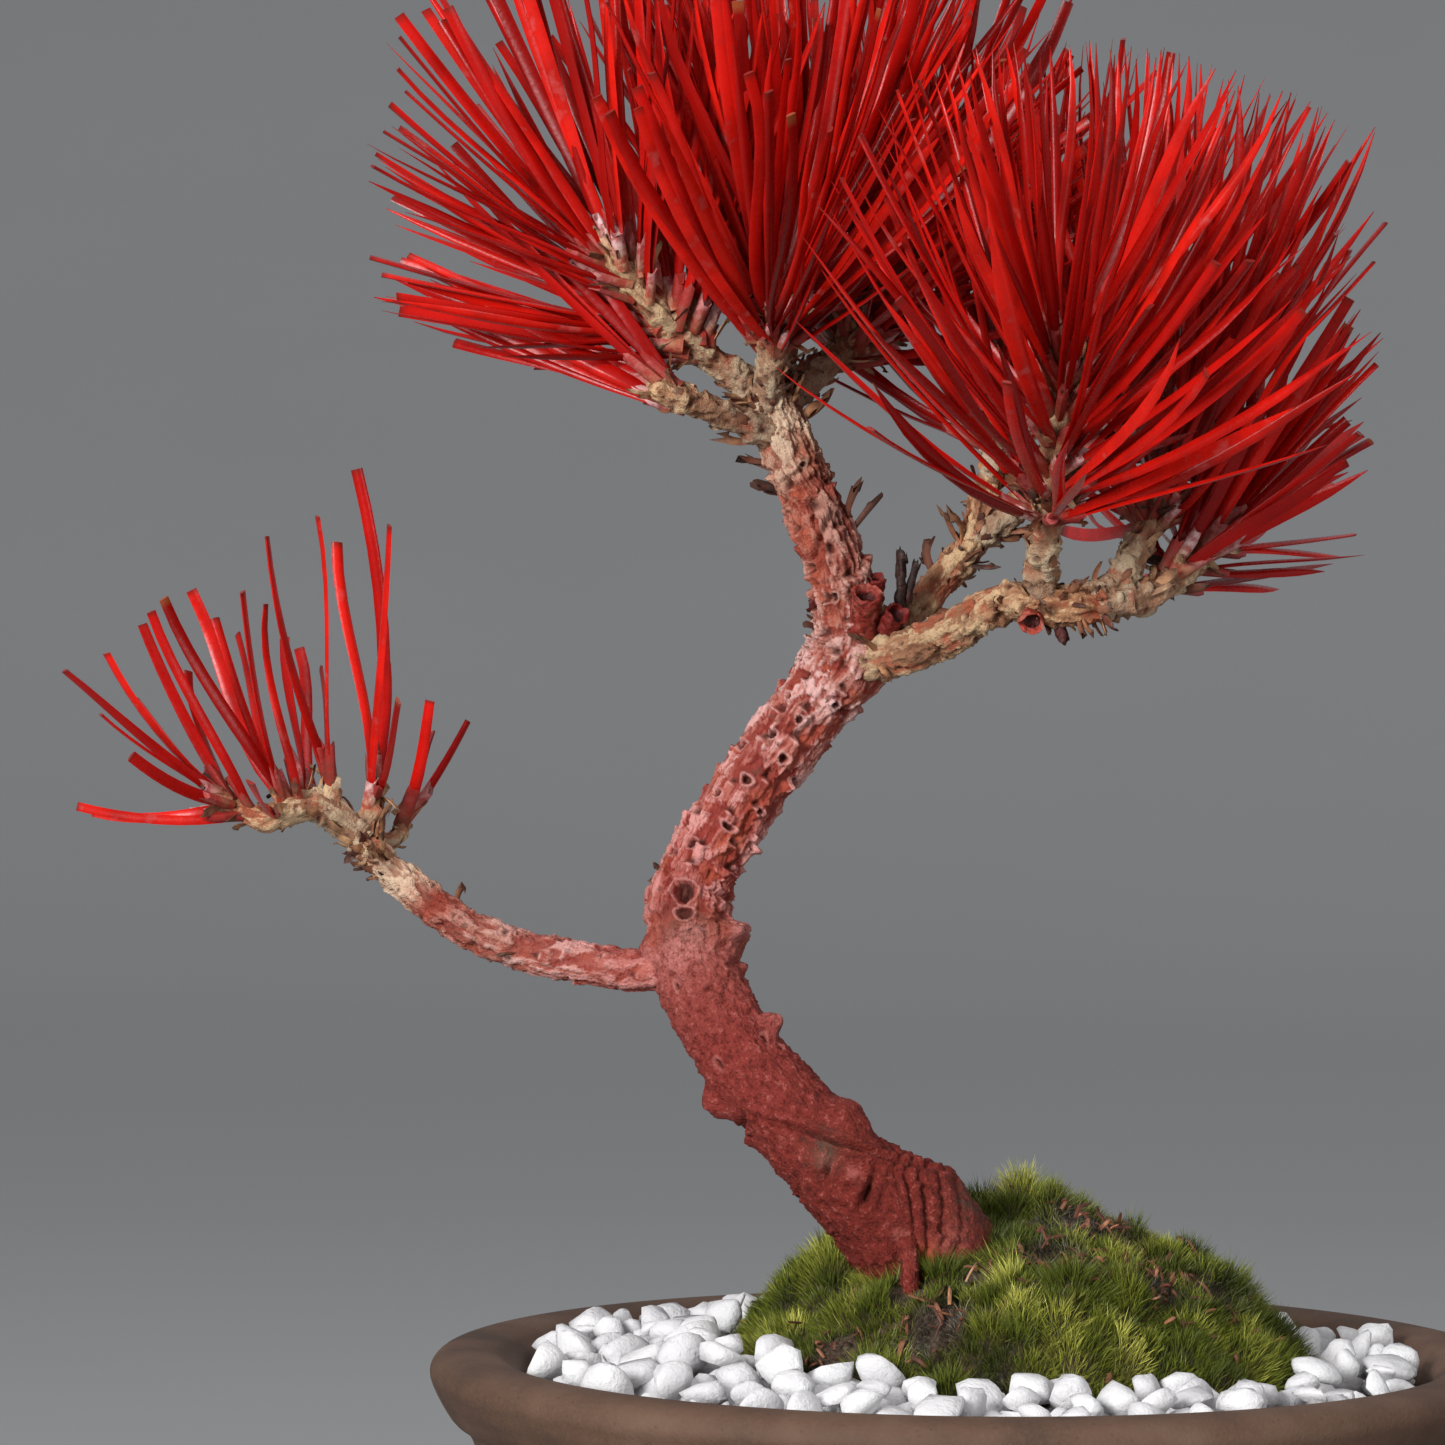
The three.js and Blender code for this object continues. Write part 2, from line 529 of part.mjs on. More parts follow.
// The nearest point of the left shoots to where a needle is seen to start
function footOnShoots(seen) {
  const points = leftShoots.flatMap((line) => spine(line).getPoints(16));
  return points.sort((a, b) => a.distanceTo(seen) - b.distanceTo(seen))[0];
}

function leftSprayNode(placed, roomForTree) {
  const cores = leftShoots.map((points) => stem(points, 5, 1));
  const needles = placed.filter(({ name }) => name === 'left_spray').map(({ body }) => body);
  return node('left_spray', mainBody(join([...cores, ...needles]).subtract(roomForTree)), looks.needles);
}

function placeNeedles() {
  const placed = leftNeedles.map(([x, y, z, footX, footY, footZ], i) => {
    const foot = footOnShoots(new THREE.Vector3(footX, footY, footZ));
    const rod = looseRod(foot, new THREE.Vector3(x, y, z), i % 3 !== 0);
    return { name: 'left_spray', rod, body: looseNeedle(rod) };
  });
  const waiting = sprays.flatMap((spray) => scalesOf(spray).map((scale) => {
    const turn = randomFrom(spray.seed * 2000 + scale.row * shoot.sides + scale.column)();
    return { spray, scale, turn };
  }));
  waiting.sort((a, b) => a.turn - b.turn);
  for (const { spray, scale } of waiting) {
    placed.push(...needlesOn(spray, scale, scale.facets, placed));
  }
  return placed;
}

// Pot, screen, soil, moss and gravel

function potNode() {
  const outline = [...footRing, ...potOutside, ...potLip, ...potInside, [drainRadius, potFloor]];
  return node('pot', turned(outline, potSides), looks.clay);
}

function screenNode() {
  const height = potFloor + clearance + screen.thickness / 2;
  const plate = new THREE.BoxGeometry(screen.width, screen.width, screen.thickness);
  const hole = (screen.width - screen.bar * (screen.holes + 1)) / screen.holes;
  const holes = [];
  for (let row = 0; row < screen.holes; row += 1) {
    for (let column = 0; column < screen.holes; column += 1) {
      const [x, y] = [column, row].map((place) => (place - (screen.holes - 1) / 2) * (hole + screen.bar));
      holes.push(solid(new THREE.BoxGeometry(hole, hole, 2).translate(x, y, height)));
    }
  }
  const body = solid(plate.translate(0, 0, height)).subtract(join(holes));
  return node('drain_screen', body, looks.plastic);
}

function mossEdge(angle) {
  const oval = 1 / Math.hypot(Math.cos(angle) / moss.reachX, Math.sin(angle) / moss.reachY);
  return oval * (1 + 0.03 * Math.sin(3 * angle + 1) + 0.02 * Math.sin(7 * angle));
}

// Height of the soil mound over the bed. reach is 0 in the middle of the moss and 1 at its edge.
function moundHeight(x, y, reach) {
  let height = moss.dome * Math.max(0, 1 - reach ** 2) ** 0.8;
  for (const hill of mossHills) {
    const near = Math.exp(-(((x - hill.x) ** 2 + (y - hill.y) ** 2) / hill.size ** 2));
    height += hill.rise * near * Math.min(1, (1 - reach) * 4);
  }
  return height;
}

function mossLumps(x, y, reach) {
  const waves = Math.sin(x * 0.62 + 1.3) * Math.sin(y * 0.71) + 0.7 * Math.sin(x * 0.33 - y * 0.41 + 2);
  return waves * (1 - 0.6 * reach);
}

// A rounded cushion on the moss oval, between two surfaces
function cushion(lower, upper, grow = 0) {
  const below = mossRings.map((ring) => new THREE.Vector2(ring, 0));
  const above = mossRings.map((ring) => new THREE.Vector2(ring, 1)).reverse();
  const shape = new THREE.LatheGeometry([...below, ...above], moss.sides).rotateX(Math.PI / 2);
  const place = shape.attributes.position;
  for (let i = 0; i < place.count; i += 1) {
    const [across, deep, level] = [place.getX(i), place.getY(i), place.getZ(i)];
    const reach = Math.hypot(across, deep);
    const angle = Math.atan2(deep, across);
    const radius = reach * (mossEdge(angle) + grow);
    const x = moss.x + radius * Math.cos(angle);
    const y = moss.y + radius * Math.sin(angle);
    place.setXYZ(i, x, y, level < 0.5 ? lower(x, y, reach) : upper(x, y, reach));
  }
  return solid(shape);
}

function soilTop(x, y, reach) {
  return bedHeight + moundHeight(x, y, reach);
}

function mossTop(x, y, reach) {
  return soilTop(x, y, reach) + clearance + moss.skin + mossLumps(x, y, reach);
}

function soilNode(roomForTree) {
  const screenRoom = screen.width * 0.74; // a little past its corners
  const screenTop = potFloor + screen.thickness + 2 * clearance;
  const wall = potInside.filter(([, z]) => z < bedHeight)
    .map(([radius, z]) => [radius - clearance, z + clearance]);
  const outline = [
    [0, screenTop], [screenRoom, screenTop], [screenRoom, potFloor + clearance],
    ...wall.reverse(), [wallAt(bedHeight) - clearance, bedHeight], [0, bedHeight],
  ];
  const mound = cushion(() => bedHeight - moundRoot, soilTop);
  const body = turned(outline, fillSides).add(mound).subtract(roomForTree);
  return node('soil', mainBody(body), looks.soil);
}

// Radius of the pot's inner wall at a height
function wallAt(height) {
  const upper = potInside.findLastIndex(([, z]) => z >= height);
  const [[r1, z1], [r2, z2]] = [potInside[upper], potInside[upper + 1]];
  return THREE.MathUtils.mapLinear(height, z1, z2, r1, r2);
}

function mossNode(roomForTree) {
  const overMound = (x, y, reach) => soilTop(x, y, reach) + clearance;
  const roomForMound = cushion(() => bedHeight - moundRoot, overMound);
  const skin = cushion(() => bedHeight + clearance, mossTop).subtract(roomForMound);
  return node('moss', mainBody(skin.subtract(roomForTree)), looks.moss);
}

function gravelNode() {
  const random = randomFrom(stones.seed);
  const bedBottom = bedHeight + clearance;
  const wall = wallAt(bedBottom) - clearance;
  const bed = turned([
    [bedHole, bedBottom], [wall, bedBottom], [wall, stones.bedTop], [bedHole, stones.bedTop],
  ], fillSides);
  const heap = stones.rings.flatMap((ring, row) => {
    const count = Math.floor((2 * Math.PI * ring) / stones.pitch);
    return Array.from({ length: count }, (_, i) => {
      const angle = ((i + row * 0.5 + (random() - 0.5) * 0.3) / count) * 2 * Math.PI;
      const radius = ring + (random() - 0.5) * 1.6;
      const pebble = new THREE.OctahedronGeometry(stones.radius, 0)
        .scale(0.9 + random() * 0.2, 0.9 + random() * 0.2, 0.8 + random() * 0.2)
        .rotateX(0.6 + random() * 0.5).rotateY(random() * 0.8).rotateZ(random() * 2 * Math.PI);
      const z = stones.middle + random() * stones.rise + (stones.rings.length - 1 - row) * stones.ringStep;
      return solid(pebble.translate(radius * Math.cos(angle), radius * Math.sin(angle), z));
    });
  });
  const roomInPot = turned([
    [0, bedBottom], [wall, bedBottom], [54.2, 45.2], [55.4, 47], [57.4, 48.3], [57.4, 60], [0, 60],
  ], potSides);
  const overMoss = (x, y, reach) => mossTop(x, y, reach) + 2;
  const roomForMoss = cushion(() => bedHeight - moundRoot, overMoss, clearance + 0.2);
  const body = join([bed, ...heap]).intersect(roomInPot).subtract(roomForMoss);
  return node('gravel', mainBody(body), looks.stone);
}

const roomForTree = grownTree(clearance);
const placedNeedles = placeNeedles();
const tree = new THREE.Group();
tree.position.set(potAxis.x, potAxis.y, 0);
tree.add(
  potNode(),
  screenNode(),
  soilNode(roomForTree),
  mossNode(roomForTree),
  gravelNode(),
  node('trunk', mainBody(grownTree(0)), looks.bark),
  leftSprayNode(placedNeedles, roomForTree),
  ...sprays.map((spray) => sprayNode(spray, placedNeedles, roomForTree)),
);

export default tree;
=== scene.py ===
import math

import bmesh
import bpy
import numpy as np
from mathutils import Matrix, Vector, noise


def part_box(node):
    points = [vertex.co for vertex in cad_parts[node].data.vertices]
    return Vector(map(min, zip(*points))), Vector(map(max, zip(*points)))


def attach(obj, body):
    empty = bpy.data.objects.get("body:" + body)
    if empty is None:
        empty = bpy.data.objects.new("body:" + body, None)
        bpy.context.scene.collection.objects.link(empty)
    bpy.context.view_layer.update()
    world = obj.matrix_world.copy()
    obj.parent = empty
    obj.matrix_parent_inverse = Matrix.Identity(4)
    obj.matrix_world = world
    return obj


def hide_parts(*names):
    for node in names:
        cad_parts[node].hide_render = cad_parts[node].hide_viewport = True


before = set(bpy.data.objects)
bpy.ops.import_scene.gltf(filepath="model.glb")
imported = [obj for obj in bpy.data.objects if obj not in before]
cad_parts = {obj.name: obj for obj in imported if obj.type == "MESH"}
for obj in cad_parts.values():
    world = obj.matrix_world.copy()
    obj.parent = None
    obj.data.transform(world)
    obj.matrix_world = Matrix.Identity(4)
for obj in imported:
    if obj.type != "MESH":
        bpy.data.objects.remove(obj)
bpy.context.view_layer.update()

# Everything is drawn in millimetres round the pot's axis and goes into the frame in metres
mm = 0.001
potLow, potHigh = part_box("pot")
potAxis = Vector(((potLow.x + potHigh.x) / 2, (potLow.y + potHigh.y) / 2, 0))
toFrame = Matrix.Translation(potAxis) @ Matrix.Scale(mm, 4)
fromFrame = toFrame.inverted()


# Pieces

def addObject(name, data):
    made = bpy.data.objects.new(name, data)
    bpy.context.scene.collection.objects.link(made)
    return made


# sharp is the angle in degrees past which an edge is shaded as an edge
def placePiece(name, mesh, material, replaces=(), sharp=None):
    mesh.shade_smooth()
    if sharp:
        mesh.set_sharp_from_angle(angle=math.radians(sharp))
    mesh.materials.append(material)
    piece = addObject(name, mesh)
    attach(piece, "root")
    if replaces:
        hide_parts(*replaces)
    print(name, sum(len(face.vertices) - 2 for face in mesh.polygons), "triangles")


# A mesh in the frame from a shape drawn in mm
def meshOf(name, shape):
    bmesh.ops.transform(shape, matrix=toFrame, verts=shape.verts)
    mesh = bpy.data.meshes.new(name)
    shape.to_mesh(mesh)
    shape.free()
    return mesh


# parts are lists of (places of the corners in mm, faces of one form, values for each corner)
def placeCopies(name, parts, material, replaces=(), sharp=None):
    places, faces, values, start = [], [], {}, 0
    for corners, formFaces, attributes in parts:
        copies = corners.reshape(-1, corners.shape[-2], 3)
        first = start + np.arange(len(copies))[:, None] * copies.shape[1]
        for face in formFaces:
            faces += (first + face).tolist()
        places.append(copies.reshape(-1, 3))
        start += len(places[-1])
        for key, numbers in attributes.items():
            whole = np.broadcast_to(numbers, copies.shape[:2] + np.shape(numbers)[2:])
            values.setdefault(key, []).append(whole.reshape(-1, *whole.shape[2:]))
    mesh = bpy.data.meshes.new(name)
    mesh.from_pydata((np.vstack(places) * mm + np.array(potAxis)).tolist(), [], faces)
    for key, numbers in values.items():
        numbers = np.concatenate(numbers).astype(np.float32)
        isVector = numbers.ndim == 2
        layer = mesh.attributes.new(key, "FLOAT_VECTOR" if isVector else "FLOAT", "POINT")
        layer.data.foreach_set("vector" if isVector else "value", numbers.ravel())
    placePiece(name, mesh, material, replaces, sharp)


# A shape's corners and faces, for shapes that are repeated or bent along a line
def formOf(shape):
    bmesh.ops.recalc_face_normals(shape, faces=shape.faces)
    shape.verts.index_update()
    corners = np.array([vert.co for vert in shape.verts])
    faces = [[vert.index for vert in face.verts] for face in shape.faces]
    shape.free()
    return corners, faces


# A closed rod that stands on z = 0
def rodShape(sides, rings, radius=1, length=1):
    shape = bmesh.new()
    bmesh.ops.create_cone(shape, cap_ends=True, segments=sides, radius1=radius, radius2=radius, depth=length)
    long = [edge for edge in shape.edges if abs(edge.verts[0].co.z - edge.verts[1].co.z) > length / 2]
    bmesh.ops.subdivide_edges(shape, edges=long, cuts=rings - 1, use_grid_fill=True)
    bmesh.ops.translate(shape, vec=(0, 0, length / 2), verts=shape.verts)
    return shape


def rodForm(sides, rings):
    return formOf(rodShape(sides, rings))


# A section of (radius, height) points turned round the pot's axis
def spunShape(outline, steps, closed):
    shape = bmesh.new()
    corners = [shape.verts.new((radius, 0, height)) for radius, height in outline]
    ends = corners[1:] + corners[:1] if closed else corners[1:]
    edges = [shape.edges.new(pair) for pair in zip(corners, ends)]
    bmesh.ops.spin(shape, geom=corners + edges, cent=(0, 0, 0), axis=(0, 0, 1), angle=2 * math.pi,
                   steps=steps, use_merge=True, use_duplicate=False)
    bmesh.ops.remove_doubles(shape, verts=shape.verts, dist=0.001)
    return shape


def unit(v):
    return v / np.maximum(np.linalg.norm(v, axis=-1, keepdims=True), 1e-9)


# The part of v that is square to a direction, at length 1
def squareTo(direction, v):
    return unit(v - (v * direction).sum(-1, keepdims=True) * direction)


def bell(distance, size):
    return np.exp(-((distance / size) ** 2))


def stepBetween(low, high, x):
    t = np.clip((x - low) / (high - low), 0, 1)
    return t * t * (3 - 2 * t)


def wander(points, size, seed=0, octaves=3):
    shift = Vector((seed * 17.3, seed * 5.1, seed * 9.7))
    return np.array([noise.fractal(Vector(p) + shift, 0.9, 2.0, octaves) for p in points / size])


# The points of a line with one more at each end
def carriedOn(points):
    return np.vstack([2 * points[0] - points[1], points, 2 * points[-1] - points[-2]])


# Place and direction on the smooth line through b and c, w of the way between them
def smoothAt(a, b, c, d, w):
    bend, swing = 2 * a - 5 * b + 4 * c - d, 3 * b - a - 3 * c + d
    place = 0.5 * (2 * b + (c - a) * w + bend * w ** 2 + swing * w ** 3)
    return place, c - a + 2 * bend * w + 3 * swing * w ** 2


# Bends one copy of a rod form along each arc, given by its start, two knees and end.
# width and depth are half sizes along the form's x and y, as arrays [copy, corner]
def bentRods(form, arc, across, width, depth, twist=0):
    x, y, z = form[0].T
    w = z[None, :, None]
    a, b, c, d = (points[:, None] for points in arc)
    middle = (1 - w) ** 3 * a + 3 * w * (1 - w) ** 2 * b + 3 * w ** 2 * (1 - w) * c + w ** 3 * d
    along = unit((1 - w) ** 2 * (b - a) + 2 * w * (1 - w) * (c - b) + w ** 2 * (d - c))
    side = squareTo(along, across[:, None])
    up = np.cross(along, side)
    turn = (np.reshape(twist, (-1, 1)) * z[None])[..., None]
    turnedSide = side * np.cos(turn) + up * np.sin(turn)
    turnedUp = up * np.cos(turn) - side * np.sin(turn)
    return middle + turnedSide * (x * width)[..., None] + turnedUp * (y * depth)[..., None]


# Material helpers

# Gives the material, its tree and the place on the piece
def newMaterial(name):
    material = bpy.data.materials.new(name)
    material.use_nodes = True
    tree = material.node_tree
    return material, tree, nodeOn(tree, "TexCoord").outputs["Object"]


def feed(tree, sockets, key, value):
    if isinstance(value, bpy.types.NodeSocket):
        tree.links.new(value, sockets[key])
    else:
        sockets[key].default_value = value


def nodeOn(tree, kind, inputs=None, **settings):
    made = tree.nodes.new("ShaderNode" + kind)
    for key, value in settings.items():
        setattr(made, key, value)
    for key, value in (inputs or {}).items():
        feed(tree, made.inputs, key, value)
    return made


def valueOn(tree, name):
    return nodeOn(tree, "Attribute", attribute_name=name).outputs["Fac"]


def rampOn(tree, factor, stops):
    ramp = nodeOn(tree, "ValToRGB", {"Fac": factor})
    elements = ramp.color_ramp.elements
    while len(elements) < len(stops):
        elements.new(0.5)
    for element, (place, colour) in zip(elements, stops):
        element.position = place
        element.color = (*colour, 1)
    return ramp.outputs["Color"]


def levelsOn(tree, value, low, high, toLow=0.0, toHigh=1.0):
    values = {"Value": value, "From Min": low, "From Max": high, "To Min": toLow, "To Max": toHigh}
    return nodeOn(tree, "MapRange", values).outputs["Result"]


def mixOn(tree, factor, first, second, blend="MIX"):
    made = nodeOn(tree, "Mix", data_type="RGBA", blend_type=blend)
    feed(tree, made.inputs, 0, factor)
    for index, colour in ((6, first), (7, second)):
        feed(tree, made.inputs, index, (*colour, 1) if isinstance(colour, tuple) else colour)
    return made.outputs[2]


def mathOn(tree, operation, first, second=0.0):
    made = nodeOn(tree, "Math", operation=operation)
    feed(tree, made.inputs, 0, first)
    feed(tree, made.inputs, 1, second)
    return made.outputs[0]


def timesOn(tree, first, second):
    return mathOn(tree, "MULTIPLY", first, second)


# first and a share of second
def addOn(tree, first, second, share=1.0):
    return mathOn(tree, "ADD", first, second if share == 1 else timesOn(tree, second, share))


def bumpOn(tree, height, distance, strength=1.0):
    values = {"Height": height, "Distance": distance * mm, "Strength": strength}
    return nodeOn(tree, "Bump", values).outputs["Normal"]


# Mottling that every material shares: noise of one size, put out as it is and as a mask
# that goes from 0 at Low to Strength at High
def mottleGroup():
    group = bpy.data.node_groups.new("mottle", "ShaderNodeTree")
    for name in ("Vector", "Size", "Coarseness", "Low", "High", "Strength"):
        kind = "NodeSocketVector" if name == "Vector" else "NodeSocketFloat"
        group.interface.new_socket(name, in_out="INPUT", socket_type=kind)
    for name in ("Mask", "Value"):
        group.interface.new_socket(name, in_out="OUTPUT", socket_type="NodeSocketFloat")
    given = group.nodes.new("NodeGroupInput").outputs
    scale = mathOn(group, "DIVIDE", 1 / mm, given["Size"])
    values = {"Vector": given["Vector"], "Scale": scale, "Detail": 4.0, "Roughness": given["Coarseness"]}
    value = nodeOn(group, "TexNoise", values).outputs["Fac"]
    out = group.nodes.new("NodeGroupOutput").inputs
    group.links.new(value, out["Value"])
    mask = levelsOn(group, value, given["Low"], given["High"], 0.0, given["Strength"])
    group.links.new(mask, out["Mask"])
    return group


mottle = mottleGroup()


def mottleOn(tree, vector, size, low=0.3, high=0.7, strength=1.0, coarseness=0.55):
    made = nodeOn(tree, "Group", node_tree=mottle)
    values = {"Vector": vector, "Size": size, "Coarseness": coarseness, "Low": low, "High": high,
              "Strength": strength}
    for key, value in values.items():
        feed(tree, made.inputs, key, value)
    return made.outputs["Mask"], made.outputs["Value"]


# grain is the noise that takes the roughness from one limit to the other, over its own span
def finish(material, colour, grain, roughness, normal=None, specular=0.3, span=(0.3, 0.7)):
    tree = material.node_tree
    sockets = tree.nodes["Principled BSDF"].inputs
    tree.links.new(colour, sockets["Base Color"])
    tree.links.new(levelsOn(tree, grain, *span, *roughness), sockets["Roughness"])
    if normal:
        tree.links.new(normal, sockets["Normal"])
    sockets["Specular IOR Level"].default_value = specular
    return material


# Pot: radius and height along its section, from the drain hole out, up and back in

pot = {
    "steps": 192, "perPoint": 5,
    "foot": [(7.5, 3), (33.6, 3), (34, 2.6), (34.2, 0.3), (34.6, 0), (39.4, 0), (39.9, 0.4)],
    "wall": [(40.5, 3.2), (47.5, 9), (53.5, 18), (57.5, 28), (60, 37.5)],
    "lip": [(62.7, 40.3), (65, 44.8), (64.2, 47.1), (61.6, 48), (57.8, 47.7), (55.8, 46.6)],
    "inside": [(54.4, 44.6), (53.4, 37), (50.5, 25), (46, 14), (39, 8.5)],
    "floor": [(7.9, 8.5), (7.5, 8.1)],
    "dark": (0.052, 0.029, 0.02), "body": (0.096, 0.052, 0.033), "pale": (0.145, 0.088, 0.06),
    # sizes in mm of the clouds, the grain, the dark specks and the marks of turning
    "cloud": 16, "grain": 0.45, "speck": 1.3, "turning": 7, "relief": 0.1,
}


def roundedLine(points, perPoint):
    points = np.array(points, float)
    p = carriedOn(points)
    w = (np.arange(perPoint) / perPoint)[None, :, None]
    line = smoothAt(*(p[i:len(p) - 3 + i, None] for i in range(4)), w)[0]
    return [*map(tuple, line.reshape(-1, 2)), tuple(points[-1])]


def clayMaterial():
    material, tree, place = newMaterial("unglazedClay")
    cloud = mottleOn(tree, place, pot["cloud"])[1]
    speckle, grain = mottleOn(tree, place, pot["grain"], 0.45, 0.75, 0.35, 0.6)
    colour = rampOn(tree, cloud, [(0.3, pot["dark"]), (0.52, pot["body"]), (0.78, pot["pale"])])
    colour = mixOn(tree, speckle, colour, pot["pale"])
    values = {"Vector": place, "Scale": 1 / (pot["speck"] * mm)}
    speck = nodeOn(tree, "TexVoronoi", values).outputs["Distance"]
    colour = mixOn(tree, levelsOn(tree, speck, 0.0, 0.2, 0.7, 0), colour, pot["dark"])
    values = {"Vector": place, "Scale": 1 / (pot["turning"] * mm), "Distortion": 2.0, "Detail": 3.0,
              "Detail Scale": 0.5}
    turning = nodeOn(tree, "TexWave", values, bands_direction="Z").outputs["Fac"]
    height = addOn(tree, grain, turning, 0.5)
    return finish(material, colour, grain, (0.58, 0.8), bumpOn(tree, height, pot["relief"]), 0.22)


def buildPot():
    rounded = roundedLine(pot["wall"] + pot["lip"] + pot["inside"], pot["perPoint"])
    shape = spunShape(pot["foot"] + rounded + pot["floor"], pot["steps"], True)
    bmesh.ops.recalc_face_normals(shape, faces=shape.faces)
    placePiece("stonewarePot", meshOf("stonewarePot", shape), clayMaterial(), ["pot"])


# Tree: every stem is a line of centre points with its radius, (x, y, z, radius), as in the solids

trunkLine = [
    (0, -3, 36, 6), (-1.5, -4, 44, 6.8), (-4, -5, 51, 7.2), (-7.3, -6, 59.2, 7.1), (-11.9, -7, 65.5, 6.3),
    (-17.1, -6, 70.7, 5.9), (-22.4, -3, 76.3, 5.4), (-27.9, 0, 82.6, 5.2), (-31.8, 3, 88.8, 5.2),
    (-34, 5, 95.2, 5.2), (-34.2, 6, 100.7, 5), (-32.4, 7, 106.4, 4.6), (-28.7, 8, 112.4, 4.5),
    (-24.5, 8, 118.6, 4.6), (-19.7, 8, 124.9, 4.7), (-16, 7, 130.9, 4.6), (-15.7, 6, 136.4, 4),
    (-17.1, 5, 142.4, 3.6), (-20, 4, 149.6, 3.4), (-22.7, 3, 155.6, 3.4), (-24.8, 3, 161, 3.2),
    (-25.6, 3, 163.5, 2.6),
]
branchLines = {
    "left": [
        (-33.5, 5, 93.5, 3.1), (-38, 5.5, 92.9, 2.8), (-45.4, 7, 93.2, 2.6), (-52.7, 8, 94.5, 2.5),
        (-59.3, 8, 96.6, 2.4), (-65.4, 8, 100.3, 2.3), (-70.6, 8, 104.6, 2.1), (-74, 8, 107.8, 2),
    ],
    "right": [
        (-14, 6, 130.3, 3), (-8.6, 2, 131.5, 2.8), (-4.1, -4, 133.4, 2.6), (0.4, -10, 136.2, 2.5),
        (4.3, -15, 137.3, 2.4), (8.7, -18, 136.7, 2.4), (14, -18, 136.8, 2.1),
    ],
    "back": [
        (-12.6, 8, 132.8, 2.4), (-8.2, 11, 136, 2.1), (-3.4, 13, 140.8, 2.1), (0.2, 14, 145.5, 2.1),
        (1.8, 15.5, 152.5, 1.8),
    ],
    "surfaceRoot": [(-8.5, -10, 64, 1.3), (-8.4, -14, 61, 1.2), (-8.2, -15.6, 58, 1.1), (-8, -15, 53, 1.1)],
}
shootLines = {
    "rightFront": [
        (6.2, -16.5, 137, 2.2), (6.4, -19.5, 141, 2), (6.6, -21.7, 144.4, 1.8), (7, -26, 151, 1.7),
        (7.6, -30.5, 159, 1.6), (8.1, -34, 166.5, 1.3),
    ],
    "rightLow": [
        (12.5, -18, 136.8, 2.1), (16, -16.5, 137.2, 2), (19.8, -13.8, 138.5, 1.8), (25, -8.5, 142.5, 1.7),
        (30, -4, 147.5, 1.6), (33.5, 0, 151.5, 1.3),
    ],
    "rightMiddle": [
        (11.5, -17.5, 137, 2), (15.5, -14.5, 139.8, 1.9), (18, -12.3, 143.3, 1.7), (21, -8, 150, 1.7),
        (23.5, -5, 158, 1.6), (25, -3, 165, 1.3),
    ],
    "rightHigh": [
        (0, 14, 145, 2), (4, 13.5, 148.5, 1.9), (8.4, 13, 152.3, 1.7), (13.5, 12.3, 157.5, 1.7),
        (17.5, 11.2, 164, 1.6), (20, 10, 171, 1.3),
    ],
    "rightBack": [(1.8, 15.5, 152, 1.9), (3, 17, 159, 1.7), (4, 19, 166, 1.6), (4.5, 20, 173, 1.3)],
    "topLow": [
        (-25, 2, 157.5, 2), (-29.5, -1.5, 159.3, 1.7), (-32.8, -3.7, 160.4, 1.6), (-36, -5.2, 161.4, 1.6),
        (-39.5, -6.5, 162.6, 1.3),
    ],
    "topLeft": [
        (-24.8, 3, 161, 2.6), (-28, 2.2, 163.6, 2.2), (-31.8, 0.9, 166.2, 1.8), (-35.5, -1.5, 169, 1.7),
        (-40, -4.5, 173, 1.6), (-44.5, -8, 178.5, 1.3),
    ],
    "topMiddle": [
        (-25, 3.5, 162, 2.4), (-24, 5, 166, 2), (-22.9, 6.1, 169.9, 1.8), (-21.8, 7.3, 175, 1.7),
        (-21, 8.3, 180.5, 1.6), (-20.5, 9, 186, 1.3),
    ],
    "topRight": [
        (-24.5, 4, 160.5, 2.4), (-21, 7, 164, 2.1), (-17.2, 10.2, 167.2, 1.8), (-14, 12.5, 170.5, 1.7),
        (-11, 15, 175.5, 1.6), (-9.3, 17.5, 182, 1.3),
    ],
    "topFront": [
        (-25.3, 2, 161, 2), (-25.2, -0.5, 164, 1.8), (-24.9, -2.7, 166.9, 1.6), (-24.7, -4, 170, 1.6),
        (-24.4, -5.5, 174, 1.3),
    ],
    "leftEnd": [
        (-74, 8, 107.8, 2), (-74.6, 8, 108.4, 1.9), (-78.5, 7, 112, 1.9), (-82.5, 5, 112, 1.7),
        (-86, 4, 110.8, 1.5), (-90.5, 4, 113, 0.9),
    ],
    "leftRise": [(-78, 7, 111.5, 1.6), (-77.7, 7.2, 115.5, 1.1)],
    "leftFork": [(-75, 8, 109, 1.7), (-72.8, 8.5, 111.5, 1.3), (-72.4, 8.6, 114.5, 0.9)],
    "leftBack": [(-74, 9, 107.8, 1.4), (-70.5, 12, 108.5, 1.1), (-69.4, 12.4, 110.6, 0.8)],
}
